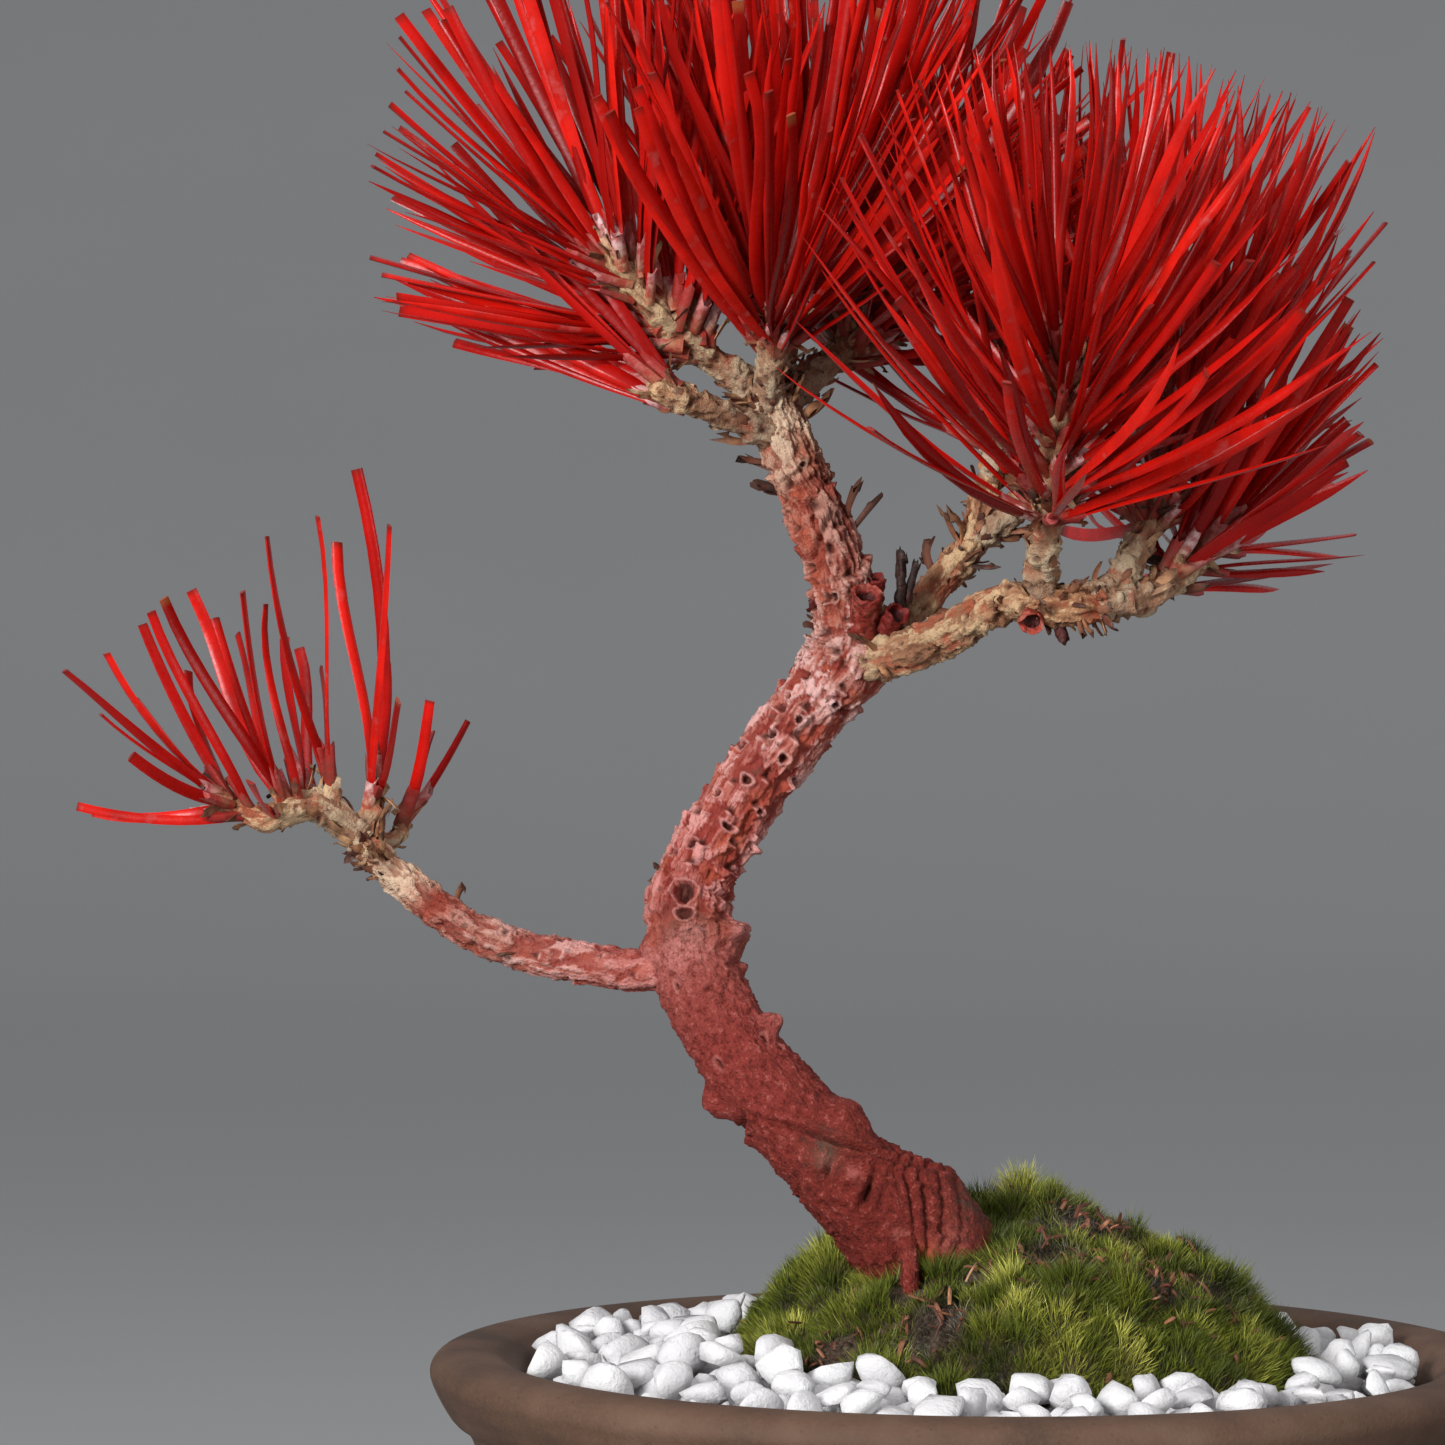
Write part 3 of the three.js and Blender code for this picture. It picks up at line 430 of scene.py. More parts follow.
# Places on the trunk are counts along its centre points and degrees from the front towards the right,
# sizes are in mm over the surface
bark = {
    "rings": 640, "sides": 144, "plate": 1.9,
    # mm from ring to ring, mm before the first knob and from knob to knob, rise and size of a knob
    "branches": {"sides": 56, "ring": 0.3, "firstKnob": 2, "knobStep": 1.3, "rise": 0.5, "size": 0.75,
                 "seed": 20, "seedStep": 11, "roundEnd": False},
    "shoots": {"sides": 32, "ring": 0.4, "firstKnob": 1, "knobStep": 0.8, "rise": 0.7, "size": 0.8,
               "seed": 90, "seedStep": 7, "roundEnd": True},
    # at the start and the end of a stem: age from 0, old, to 1, young, and tone from the trunk's foot to
    # the buff of the shoots. The trunk turns young between two shares of its length
    "turnsYoung": (0.38, 0.5),
    "ages": {"left": (0.5, 1), "right": (0.9, 1), "back": (0.9, 1), "surfaceRoot": (0, 0), "shoot": (1, 1)},
    "tones": {"trunk": (0, 0.96), "left": (0.41, 0.99), "right": (0.98, 1), "back": (0.98, 1),
              "surfaceRoot": (0.25, 0.25), "shoot": (0.95, 1)},
    # place, angle, rise, size
    "swellings": [
        (9.22, 88, 2.0, 3.3), (9.2, 48, 0.8, 2.2), (9.7, 30, 0.5, 1.3), (8.45, 85, 0.7, 1.3),
        (9.9, -85, 0.7, 2.2), (10.2, -45, 0.4, 3.0), (9.05, -95, 1.2, 2.4), (7.12, 74, 1.5, 1.3),
        (7.0, 66, 0.8, 1.1), (6.72, -88, 1.9, 1.7), (6.05, -86, 0.5, 0.7), (5.2, 62, 1.2, 2.6),
        (14.9, 60, 0.9, 3.4), (16.2, 75, 0.8, 2.2), (17.6, -88, 0.5, 2.2), (4.0, 88, 0.8, 3.4),
        (5.4, 88, 0.5, 1.8), (3.2, 85, 2.8, 6.0), (3.1, 20, 0.7, 2.0), (3.5, -30, 0.5, 2.2),
    ],
    # cuts and deep scars: place, angle, half width, half length, rise of the rim, depth
    "hollows": [
        (10.12, -13, 1.4, 1.6, 0.5, 1.6), (9.7, -8, 1.2, 0.9, 0.35, 0.7), (20.0, -10, 0.95, 1.25, 0.1, 1.3),
        (17.55, 42, 0.4, 1.4, 0.05, 1.2), (6.97, -30, 0.45, 0.65, 0.12, 0.8), (6.92, 48, 0.4, 0.5, 0.1, 0.6),
        (6.7, 62, 0.5, 0.5, 0.1, 0.7), (18.7, 15, 0.5, 0.35, 0.1, 0.6), (8.35, -35, 0.35, 0.6, 0.1, 0.6),
        (16.4, -20, 0.5, 0.7, 0.15, 0.7), (15.6, 20, 0.45, 0.6, 0.2, 0.8),
        (11.04, -33, 0.75, 0.65, 0.45, 0.9), (11.58, 4, 0.95, 0.45, 0.45, 0.9),
        (12.0, -42, 0.65, 0.6, 0.45, 0.9),
        (12.48, -13, 0.75, 0.6, 0.5, 0.9), (12.14, 34, 0.6, 0.5, 0.5, 0.7), (13.08, 14, 0.65, 0.55, 0.5, 0.7),
        (13.26, -23, 0.6, 0.5, 0.45, 0.8), (12.88, -62, 0.6, 0.6, 0.45, 0.8), (13.7, -3, 0.5, 0.5, 0.4, 0.7),
        (14.28, 28, 0.6, 0.5, 0.4, 0.8), (13.92, -40, 0.6, 0.55, 0.4, 0.8),
    ],
    # creases: place, angle, reach each way, half width, depth, lean
    "creases": [
        (10.25, 60, 4.0, 0.5, 0.6, 0.0), (8.5, 75, 2.8, 0.4, 0.6, 0.2), (8.05, 5, 1.0, 0.25, 0.5, 0.3),
        (4.75, 38, 5.0, 0.55, 1.7, -1.4), (4.85, -10, 1.4, 0.32, 1.1, 0.31), (4.29, 8, 2.0, 0.34, 1.6, 0.31),
        (4.14, 42, 5.0, 0.28, 0.35, 1.0), (3.93, 40, 6.0, 0.3, 0.65, 0.95), (3.72, 42, 6.5, 0.32, 0.85, 1.0),
        (3.56, 50, 6.0, 0.28, 0.6, 1.05), (3.38, 58, 5.0, 0.26, 0.4, 1.0), (6.25, -78, 2.6, 0.4, 1.0, 0.1),
        (5.0, -70, 2.4, 0.35, 0.5, 0.3), (18.6, 0, 3.0, 0.35, 0.5, 0.15), (17.35, -25, 2.4, 0.4, 0.8, 0.9),
        (16.7, -10, 2.2, 0.3, 0.4, 0.1), (9.55, 30, 3.0, 0.3, 0.35, -0.2), (9.2, -20, 3.0, 0.3, 0.3, 0.3),
    ],
    # colour patches: place, angle, half length, half width
    "warm": [(17.6, -48, 4.6, 2.0), (12.2, 25, 3.0, 1.2), (13.3, 22, 3.4, 1.1), (11.4, 32, 2.5, 1.2),
             (18.3, -18, 1.4, 1.4), (3.15, 10, 1.6, 2.0)],
    "stained": [(9.45, 0, 2.6, 3.6), (15.1, 62, 2.2, 2.4), (3.35, 78, 2.2, 3.0), (5.05, 5, 1.7, 2.2),
                (10.6, -75, 2.5, 1.2)],
    "bleached": [(8.9, -15, 2.6, 3.5), (3.62, 2, 0.9, 0.8), (3.15, 36, 1.4, 1.8), (4.98, -2, 0.8, 0.8),
                 (9.45, 78, 2.3, 2.2), (17.75, 20, 2.4, 1.5), (7.1, 70, 1.3, 1.3), (4.6, 12, 0.8, 0.6),
                 (19.4, 5, 4.0, 2.2)],
    "leafScars": {"from": 10.6, "to": 18.6, "count": 84, "rise": 1.0, "size": 1.1},
    # colours by tone: the bark, its pale plates and its cracks. The light stops near tone 0.9, at the neck
    # under the crown, are partly pale young bark and partly painted light that makes up for the crown's shade
    "base": [
        (0.1, (0.14, 0.014, 0.009)), (0.22, (0.17, 0.019, 0.012)), (0.33, (0.235, 0.032, 0.024)),
        (0.42, (0.33, 0.08, 0.062)), (0.5, (0.45, 0.12, 0.096)), (0.62, (0.48, 0.17, 0.135)),
        (0.74, (0.47, 0.21, 0.155)), (0.83, (0.37, 0.075, 0.048)), (0.88, (0.66, 0.44, 0.31)),
        (0.96, (0.37, 0.235, 0.15)), (1.0, (0.44, 0.21, 0.105)),
    ],
    "pale": [
        (0.1, (0.32, 0.08, 0.06)), (0.33, (0.42, 0.13, 0.11)), (0.5, (0.66, 0.28, 0.25)),
        (0.66, (0.76, 0.46, 0.42)), (0.82, (0.5, 0.24, 0.18)), (0.9, (0.76, 0.58, 0.4)),
        (0.96, (0.5, 0.38, 0.255)), (1.0, (0.7, 0.46, 0.25)),
    ],
    "deep": [
        (0.1, (0.05, 0.006, 0.004)), (0.33, (0.09, 0.01, 0.007)), (0.5, (0.22, 0.016, 0.01)),
        (0.66, (0.25, 0.022, 0.013)), (0.83, (0.2, 0.025, 0.014)), (0.96, (0.36, 0.19, 0.11)),
        (1.0, (0.2, 0.07, 0.03)),
    ],
    "warmColour": (0.42, 0.08, 0.04), "furrowColour": (0.4, 0.08, 0.04), "stainColour": (0.1, 0.06, 0.04),
    # the pit colour on this line is painted shade, laid in the cuts, scar pockets and crease grooves
    "spotColour": (0.1, 0.05, 0.035), "pitShadeColour": (0.07, 0.016, 0.01), "relief": 0.35,
}


# Smooth line through the centre points, with its direction and radius
def stemAt(line, t):
    p = np.array(line, float)
    xyz = carriedOn(p)[:, :3]
    place = np.clip(t, 0, 1) * (len(p) - 1)
    i = np.minimum(place.astype(int), len(p) - 2)
    w = (place - i)[:, None]
    centre, along = smoothAt(xyz[i], xyz[i + 1], xyz[i + 2], xyz[i + 3], w)
    radius = p[i, 3] + (p[i + 1, 3] - p[i, 3]) * w[:, 0]
    return centre, unit(along), radius


def lengthOf(line):
    return sum(math.dist(a[:3], b[:3]) for a, b in zip(line, line[1:]))


# Steps along a stem and around it, in mm over its surface, from one of its places
def barkSteps(along, angle, radius, place, side):
    turn = angle - math.radians(side)
    return along - place, np.arctan2(np.sin(turn), np.cos(turn)) * radius


# Relief of the bark and the values that colour it: plates with cracks between them, fibres along the stem,
# lumps and grain. Old bark is fine grained, young bark has bold plates
def barkRelief(along, angle, radius, age, scars, seed):
    ring = np.stack([along * 0, np.cos(angle) * radius, np.sin(angle) * radius], 1) + seed
    ahead = np.stack([along, along * 0, along * 0], 1)
    whole = ring + ahead
    warp = wander(whole, 1.8, 4)[:, None] * (0.4, 0.6, -0.6)
    warp += wander(whole, 0.8, 14)[:, None] * (0.2, -0.3, 0.3)
    points = (ring + ahead * 0.5 + warp) / bark["plate"]
    nearest = [noise.voronoi(Vector(p)) for p in points]
    gap = np.array([distances[1] - distances[0] for distances, _ in nearest])
    centres = np.array([cells[0] for _, cells in nearest])
    plate = np.array([noise.cell(Vector(p) * 31.7) for p in centres])
    lift = (points - centres)[:, 0] * (1.6 * plate - 0.5)
    fibre = ring + ahead * 0.2
    strand = 1 - 2.2 * np.abs(wander(fibre, 1.0, 5, 5))
    grain = wander(whole, 0.7, 6, 4)
    lump = wander(whole, 3.6, 7, 3)
    edge = stepBetween(0.01, 0.16, gap)
    plates = 0.3 * edge * (0.3 + plate) + 0.5 * lift * edge + 0.3 * strand - 0.35
    relief = (0.35 + 0.65 * age) * plates
    relief += 0.3 * lump + (0.24 - 0.14 * age) * grain + (0.12 - 0.08 * age) * wander(whole, 0.35, 12, 3)
    pale = 0.5 * plate + 0.3 * strand + 0.35 * lift + 0.25 * lump + 0.12
    pit, rim = np.zeros(len(along)), np.zeros(len(along))
    # a leaf scar is a cushion that rises along the stem to a lip, with a pocket behind the lip
    for scarAlong, scarAngle, rise, size in scars:
        step, turn = barkSteps(along, angle, radius, scarAlong, scarAngle)
        arch = step + 0.3 * (turn / size) ** 2
        cushion = np.clip(1 + arch / (2.0 * size), 0, 1) ** 1.6 * (1 - stepBetween(0, 0.3, arch))
        relief += rise * cushion * bell((turn / size) ** 2, 1)
        pocket = bell(np.hypot((arch - 0.4 * size) / (0.5 * size), turn / (0.75 * size)), 1)
        relief -= 0.75 * rise * pocket
        # the pocket is darkened with painted shade
        pit = np.maximum(pit, pocket)
        rim = np.maximum(rim, bell(arch + 0.2, 0.22) * bell(turn, size * 0.8))
    crack = (0.3 + 0.7 * age) * (1 - edge)
    values = {"crack": crack, "pale": pale, "pit": pit, "rim": rim, "age": age + 0 * along, "grit": grain}
    return relief, values, fibre * mm


# Scars that turn round a stem as leaves do: place, angle, rise and size of each
def spiralScars(start, end, count, rise, size, random):
    leafTurn = 137.5
    return [(place + random.normal(0, 0.3), i * leafTurn + random.normal(0, 8),
             rise * random.uniform(0.5, 1.3), size * random.uniform(0.7, 1.3))
            for i, place in enumerate(np.linspace(start, end, count))]


# One stem's corners, faces and values, features being what only the trunk has
def stemPart(line, rings, sides, ages, tones, scars, seed, features=None, roundEnd=False):
    form = rodForm(sides, rings)
    x, y, t = form[0].T
    angle = np.arctan2(y, x)
    centre, direction, radius = stemAt(line, t)
    front = squareTo(direction, np.array([0, -1.0, 0]))
    right = np.cross(direction, front)
    length = lengthOf(line)
    age = ages[0] + (ages[1] - ages[0]) * (stepBetween(*bark["turnsYoung"], t) if features else t)
    relief, values, fibre = barkRelief(t * length, angle, radius, age, scars, seed)
    values.update({"warm": 0 * t, "stained": 0 * t, "bleached": 0 * t})
    if features:
        features(t, length, angle, radius, relief, values)
    if roundEnd:
        left = np.clip((1 - t) * length / radius, 0, 1)
        radius = radius * np.sqrt(np.clip(1 - (1 - left) ** 2, 0.02, 1))
    reach = (radius + relief * np.clip(radius / 2, 0, 1)) * np.hypot(x, y)
    corners = centre + front * (np.cos(angle) * reach)[:, None] + right * (np.sin(angle) * reach)[:, None]
    values["tone"] = tones[0] + (tones[1] - tones[0]) * t
    values["fibre"] = fibre[None]
    return corners[None], form[1], values


def trunkFeatures(t, length, angle, radius, relief, values):
    spacing = length / (len(trunkLine) - 1)

    def stepsFrom(place, side):
        return barkSteps(t * length, angle, radius, place * spacing, side)

    for place, side, rise, size in bark["swellings"]:
        distance = np.hypot(*stepsFrom(place, side)) * (1 + 0.2 * values["grit"])
        relief += rise * np.exp(-((distance / size) ** 4))
    for place, side, width, reach, rise, depth in bark["hollows"]:
        step, turn = stepsFrom(place, side)
        distance = np.hypot(step / reach, turn / width * (1 - 0.25 * step / reach))
        distance *= 1 + 0.1 * values["grit"]
        hollow = 1 - stepBetween(0.7, 1.0, distance)
        edge = bell((distance - 1.15) * min(width, reach), 0.2)
        relief += rise * edge - depth * hollow
        # the hollow is darkened with painted shade
        values["pit"] = np.maximum(values["pit"], hollow)
        values["rim"] = np.maximum(values["rim"], edge)
    for place, side, reach, width, depth, lean in bark["creases"]:
        step, turn = stepsFrom(place, side)
        across = step - lean * turn
        fade = bell(turn, reach)
        groove = bell(across, width) * fade
        relief += depth * (0.35 * bell(np.abs(across) - 2.4 * width, width * 1.2) * fade - groove)
        # a deeper crease gets more painted shade in its groove
        values["pit"] = np.maximum(values["pit"], groove * min(1, 0.7 * depth))
    for kind in ("warm", "stained", "bleached"):
        for place, side, reach, width in bark[kind]:
            step, turn = stepsFrom(place, side)
            values[kind] = np.maximum(values[kind], bell(np.hypot(step / reach, turn / width), 1))


def barkMaterial():
    material, tree, place = newMaterial("pineBark")
    fibre = nodeOn(tree, "Attribute", attribute_name="fibre").outputs["Vector"]
    tone, age = valueOn(tree, "tone"), valueOn(tree, "age")
    cloud = mottleOn(tree, place, 5)[1]
    patch = mottleOn(tree, place, 1.1, coarseness=0.65)[1]
    grain = mottleOn(tree, place, 0.3, coarseness=0.65)[1]
    strand = mottleOn(tree, fibre, 0.5, coarseness=0.7)[1]
    base, pale, deep = (rampOn(tree, tone, bark[key]) for key in ("base", "pale", "deep"))
    # young bark is pale on its plates, old bark is speckled
    flake = addOn(tree, addOn(tree, valueOn(tree, "pale"), strand, 1.1), grain, 0.5)
    speck = addOn(tree, patch, grain, 0.7)
    youngPale, oldPale = levelsOn(tree, flake, 1.1, 1.4, 0, 0.9), levelsOn(tree, speck, 0.92, 1.08, 0, 0.8)
    youngDeep, oldDeep = levelsOn(tree, flake, 1.05, 0.8, 0, 0.8), levelsOn(tree, speck, 0.84, 0.68, 0, 0.85)
    colour = mixOn(tree, mixOn(tree, age, oldPale, youngPale), base, pale)
    colour = mixOn(tree, mixOn(tree, age, oldDeep, youngDeep), colour, deep)
    # furrows and spots of young bark, where the clouds are light and dark
    furrow = timesOn(tree, levelsOn(tree, cloud, 0.52, 0.62), levelsOn(tree, flake, 1.3, 1.1, 0, 0.7))
    spot = timesOn(tree, levelsOn(tree, cloud, 0.5, 0.42), levelsOn(tree, patch, 0.56, 0.62, 0, 0.7))
    # the patches on the trunk
    warm = timesOn(tree, valueOn(tree, "warm"), levelsOn(tree, strand, 0.35, 0.6, 0.5, 1))
    bleached = timesOn(tree, valueOn(tree, "bleached"), levelsOn(tree, speck, 0.7, 0.95, 0.15, 0.9))
    stained = timesOn(tree, valueOn(tree, "stained"), levelsOn(tree, speck, 0.95, 0.75, 0.1, 0.9))
    # the last colour laid on is painted shade in the cuts, scar pockets and crease grooves
    for share, coat in (
            (warm, bark["warmColour"]), (timesOn(tree, furrow, age), bark["furrowColour"]), (bleached, pale),
            (stained, bark["stainColour"]), (timesOn(tree, spot, age), bark["spotColour"]),
            (levelsOn(tree, valueOn(tree, "crack"), 0.3, 1.0, 0, 0.75), deep),
            (levelsOn(tree, valueOn(tree, "rim"), 0.4, 0.9, 0, 0.6), pale),
            (levelsOn(tree, valueOn(tree, "pit"), 0.25, 0.9, 0, 0.9), bark["pitShadeColour"])):
        colour = mixOn(tree, share, colour, coat)
    height = addOn(tree, addOn(tree, grain, patch, 1.5), strand)
    return finish(material, colour, speck, (0.45, 0.8), bumpOn(tree, height, bark["relief"]), 0.2, (0.7, 1.0))


def buildStems():
    random = np.random.default_rng(3)
    material = barkMaterial()
    scars = bark["leafScars"]
    spacing = lengthOf(trunkLine) / (len(trunkLine) - 1)
    trunkScars = spiralScars(scars["from"] * spacing, scars["to"] * spacing, scars["count"], scars["rise"],
                             scars["size"], random)
    trunk = stemPart(trunkLine, bark["rings"], bark["sides"], (0, 1), bark["tones"]["trunk"], trunkScars, 0,
                     trunkFeatures)
    placeCopies("trunkBark", [trunk], material, ["trunk"])
    parts = []
    for lines, kind in ((branchLines, bark["branches"]), (shootLines, bark["shoots"])):
        for number, (name, line) in enumerate(lines.items()):
            length = lengthOf(line)
            count = int(length / kind["knobStep"])
            knobs = spiralScars(kind["firstKnob"], length, count, kind["rise"], kind["size"], random)
            ages, tones = (bark[key].get(name, bark[key]["shoot"]) for key in ("ages", "tones"))
            seed = kind["seed"] + kind["seedStep"] * number
            parts.append(stemPart(line, int(length / kind["ring"]), kind["sides"], ages, tones, knobs, seed,
                                  roundEnd=kind["roundEnd"]))
    placeCopies("branchBark", parts, material)


# Needles: each one follows a needle of the solids from foot to tip, two from one sheath. Where it would
# pass the crown's outline it is shorter, and in the top sprays some pairs stand a second time

needles = {
    "sides": 8, "rings": 8, "width": (1.2, 1.65), "roundFace": 0.52, "flatFace": 0.16,
    "sway": 0.045, "twist": 0.6, "longest": 12, "apart": 0.25, "droop": 0.12,
    # bow as a share of the length, where it isn't the usual one
    "bow": {"top_spray_low": 0.02, "top_spray_left": 0.03, "right_spray_low": 0.0}, "usualBow": 0.1,
    "dark": (0.2, 0.0026, 0.0016), "red": (0.47, 0.0048, 0.0026), "fresh": (0.64, 0.011, 0.005),
    # the first colour on the next line is a painted pink highlight, laid as streaks on some needles
    "glintPink": (0.55, 0.12, 0.11), "tipColour": (0.13, 0.01, 0.006), "dryColour": (0.26, 0.06, 0.02),
    # share of the needles with a point instead of a cut, and how far towards the front they may reach
    "pointed": {"right_spray_high": 0.85, "right_spray_middle": 0.8, "right_spray_back": 0.8,
                "right_spray_front": 0.7, "right_spray_low": 0.25},
    "frontmost": {"top_spray_left": 0.42, "top_spray_low": 0.35},
    # share of the pairs that stand a second time, turned round the shoot, moved along it and shortened
    "filled": {"top_spray_left": 0.7, "top_spray_low": 0.5, "top_spray_front": 0.4, "top_spray_middle": 0.5,
               "top_spray_right": 0.4},
    "turn": (0.5, 1.2), "slide": (-2.5, 1), "short": (0.82, 0.95),
    # how far the crowns reach, in the plane of the pot's axis as the camera sees them, and how ragged
    # their outline is. A needle past it is cut back step by step, by a share of its length
    "right": 49, "left": -74.5, "ragged": 5.5,
    "lowRight": [(31, 137), (49, 144.4)], "highRight": [(20, 205), (49, 195)],
    "lowLeft": [(-74.5, 171.7), (-45, 162.3), (-30, 157)],
    "cutSteps": 12, "cutShare": 0.95,
}
sheaths = {
    "sides": 8, "rings": 6, "length": (3.4, 5.2), "radius": 0.85, "thickness": (0.85, 1.1),
    "torn": (-1.6, 0.9),
    "top": [(0.0, (0.26, 0.012, 0.01)), (0.45, (0.42, 0.1, 0.09)), (0.8, (0.6, 0.33, 0.32)),
            (1.0, (0.72, 0.52, 0.5))],
    "foot": [(0.0, (0.12, 0.02, 0.012)), (0.5, (0.34, 0.12, 0.06)), (1.0, (0.5, 0.3, 0.17))],
    "tornColour": (0.3, 0.02, 0.014),
}
scales = {
    "sides": 6, "rings": 5, "length": (2.0, 4.5), "width": (0.45, 0.85), "curl": (0, 0.5), "tone": (0, 1),
    "colours": [(0.0, (0.035, 0.016, 0.012)), (0.25, (0.13, 0.045, 0.025)), (0.55, (0.34, 0.15, 0.07)),
                (0.85, (0.5, 0.29, 0.15)), (1.0, (0.62, 0.44, 0.28))],
    "blotchColour": (0.13, 0.035, 0.018), "tipColour": (0.06, 0.025, 0.015),
}
sprayNodes = sorted(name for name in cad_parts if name.endswith("spray") or "_spray_" in name)


# Tip, foot, foot corners and cut end of every needle of a spray's solid: the long edges join the small
# group of a needle's tip to its foot on the shoot, which is the largest group
def readNeedles(node):
    shape = bmesh.new()
    shape.from_mesh(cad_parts[node].data)
    bmesh.ops.transform(shape, matrix=fromFrame, verts=shape.verts)
    bmesh.ops.remove_doubles(shape, verts=shape.verts, dist=0.002)
    shape.verts.index_update()
    isLong = {edge for edge in shape.edges if edge.calc_length() > needles["longest"]}
    seen, groups = set(), []
    for first in shape.verts:
        if first.index in seen:
            continue
        seen.add(first.index)
        group, queue = [], [first]
        while queue:
            vert = queue.pop()
            group.append(vert)
            for edge in vert.link_edges:
                other = edge.other_vert(vert)
                if edge not in isLong and other.index not in seen:
                    seen.add(other.index)
                    queue.append(other)
        groups.append(group)
    shoot = max(groups, key=len)
    found = []
    for group in groups:
        if group is shoot:
            continue
        feet = {edge.other_vert(vert) for vert in group for edge in vert.link_edges if edge in isLong}
        found.append({
            "tip": np.mean([vert.co for vert in group], axis=0),
            "foot": np.mean([vert.co for vert in feet], axis=0),
            "corners": {vert.index for vert in feet},
            "cut": len(group) > 1,
        })
    shape.free()
    return found


# Needles whose feet share an edge of the shoot stand in one sheath
def pairsOf(found):
    nearest = {}
    for i, one in enumerate(found):
        near = [(np.linalg.norm(one["tip"] - other["tip"]), j) for j, other in enumerate(found)
                if j != i and len(one["corners"] & other["corners"]) == 2]
        if near:
            nearest[i] = min(near)[1]
    pairs, used = [], set()
    for i in range(len(found)):
        if i in used:
            continue
        partner = nearest.get(i)
        together = partner is not None and nearest.get(partner) == i and partner not in used
        pairs.append([found[i], found[partner]] if together else [found[i]])
        used.update((i, partner) if together else (i,))
    return pairs


# A copy of a pair further round the shoot
def turnedPair(pair, axis, random):
    turn = Matrix.Rotation(random.uniform(*needles["turn"]) * random.choice((-1, 1)), 3, Vector(axis))
    slide = axis * random.uniform(*needles["slide"])
    foot = np.mean([one["foot"] for one in pair], axis=0)
    short = random.uniform(*needles["short"])
    turned = []
    for one in pair:
        way = np.array(turn @ Vector(one["tip"] - foot)) * short
        turned.append({**one, "foot": foot + slide, "tip": foot + slide + way})
    return turned


# Where the camera sees a point, as x and z in the plane of the pot's axis
def seenAt(point):
    eye = studio["camera"]
    spread = -eye["y"] / (point[1] - eye["y"])
    return eye["x"] + (point[0] - eye["x"]) * spread, eye["z"] + (point[2] - eye["z"]) * spread


# Shortens a needle until its tip is inside the crown's outline, and gives None where that is too short
def trimmedTip(node, foot, tip, random):
    ragged = random.uniform(0, needles["ragged"])
    for _ in range(needles["cutSteps"]):
        x, z = seenAt(tip)
        outside = False
        if node.startswith("right"):
            low, high = (np.interp(x, *zip(*needles[key])) for key in ("lowRight", "highRight"))
            outside = x > needles["right"] - ragged or z < low or z > high
        if node.startswith("top"):
            outside = x < needles["left"] + ragged or z < np.interp(x, *zip(*needles["lowLeft"]))
        if not outside:
            return tip
        tip = foot + (tip - foot) * needles["cutShare"]


def needleMaterial():
    material, tree, place = newMaterial("redNeedle")
    tone, along = valueOn(tree, "tone"), valueOn(tree, "along")
    shade = mottleOn(tree, place, 7, 0.42, 0.66, 0.55)[0]
    fine = mottleOn(tree, place, 0.7)[1]
    colour = rampOn(tree, tone, [(0.0, needles["dark"]), (0.45, needles["red"]), (1.0, needles["fresh"])])
    colour = mixOn(tree, shade, colour, needles["dark"])
    # needles darken towards their feet: painted shade inside the crown
    colour = mixOn(tree, levelsOn(tree, along, 0.3, 0.05, 0, 0.6), colour, needles["dark"])
    # some have pink streaks of painted highlight, a few have a dry tip
    glint = timesOn(tree, mottleOn(tree, place, 3.5, 0.6, 0.72)[0], levelsOn(tree, tone, 0.6, 0.9, 0, 0.5))
    colour = mixOn(tree, glint, colour, needles["glintPink"])
    dry = timesOn(tree, levelsOn(tree, along, 0.96, 0.985), levelsOn(tree, tone, 0.08, 0.05, 0, 0.8))
    colour = mixOn(tree, levelsOn(tree, along, 0.97, 1.0, 0, 0.8), colour, needles["tipColour"])
    colour = mixOn(tree, dry, colour, needles["dryColour"])
    return finish(material, colour, fine, (0.22, 0.34), bumpOn(tree, fine, 0.03), 0.2)


def sheathMaterial():
    material, tree, place = newMaterial("paperySheath")
    tone, along = valueOn(tree, "tone"), valueOn(tree, "along")
    torn, cloud = mottleOn(tree, place, 1.1, 0.6, 0.42, 0.8, 0.65)
    top, foot = rampOn(tree, tone, sheaths["top"]), rampOn(tree, tone, sheaths["foot"])
    colour = mixOn(tree, levelsOn(tree, along, 0.2, 0.7), foot, top)
    colour = mixOn(tree, torn, colour, sheaths["tornColour"])
    return finish(material, colour, cloud, (0.4, 0.75), bumpOn(tree, cloud, 0.2))


def scaleMaterial():
    material, tree, place = newMaterial("dryScale")
    tone, along = valueOn(tree, "tone"), valueOn(tree, "along")
    blotch, cloud = mottleOn(tree, place, 1.3, 0.56, 0.4, 0.6)
    colour = mixOn(tree, blotch, rampOn(tree, tone, scales["colours"]), scales["blotchColour"])
    colour = mixOn(tree, levelsOn(tree, along, 0.55, 1.0, 0, 0.75), colour, scales["tipColour"])
    return finish(material, colour, cloud, (0.5, 0.8), bumpOn(tree, cloud, 0.25))


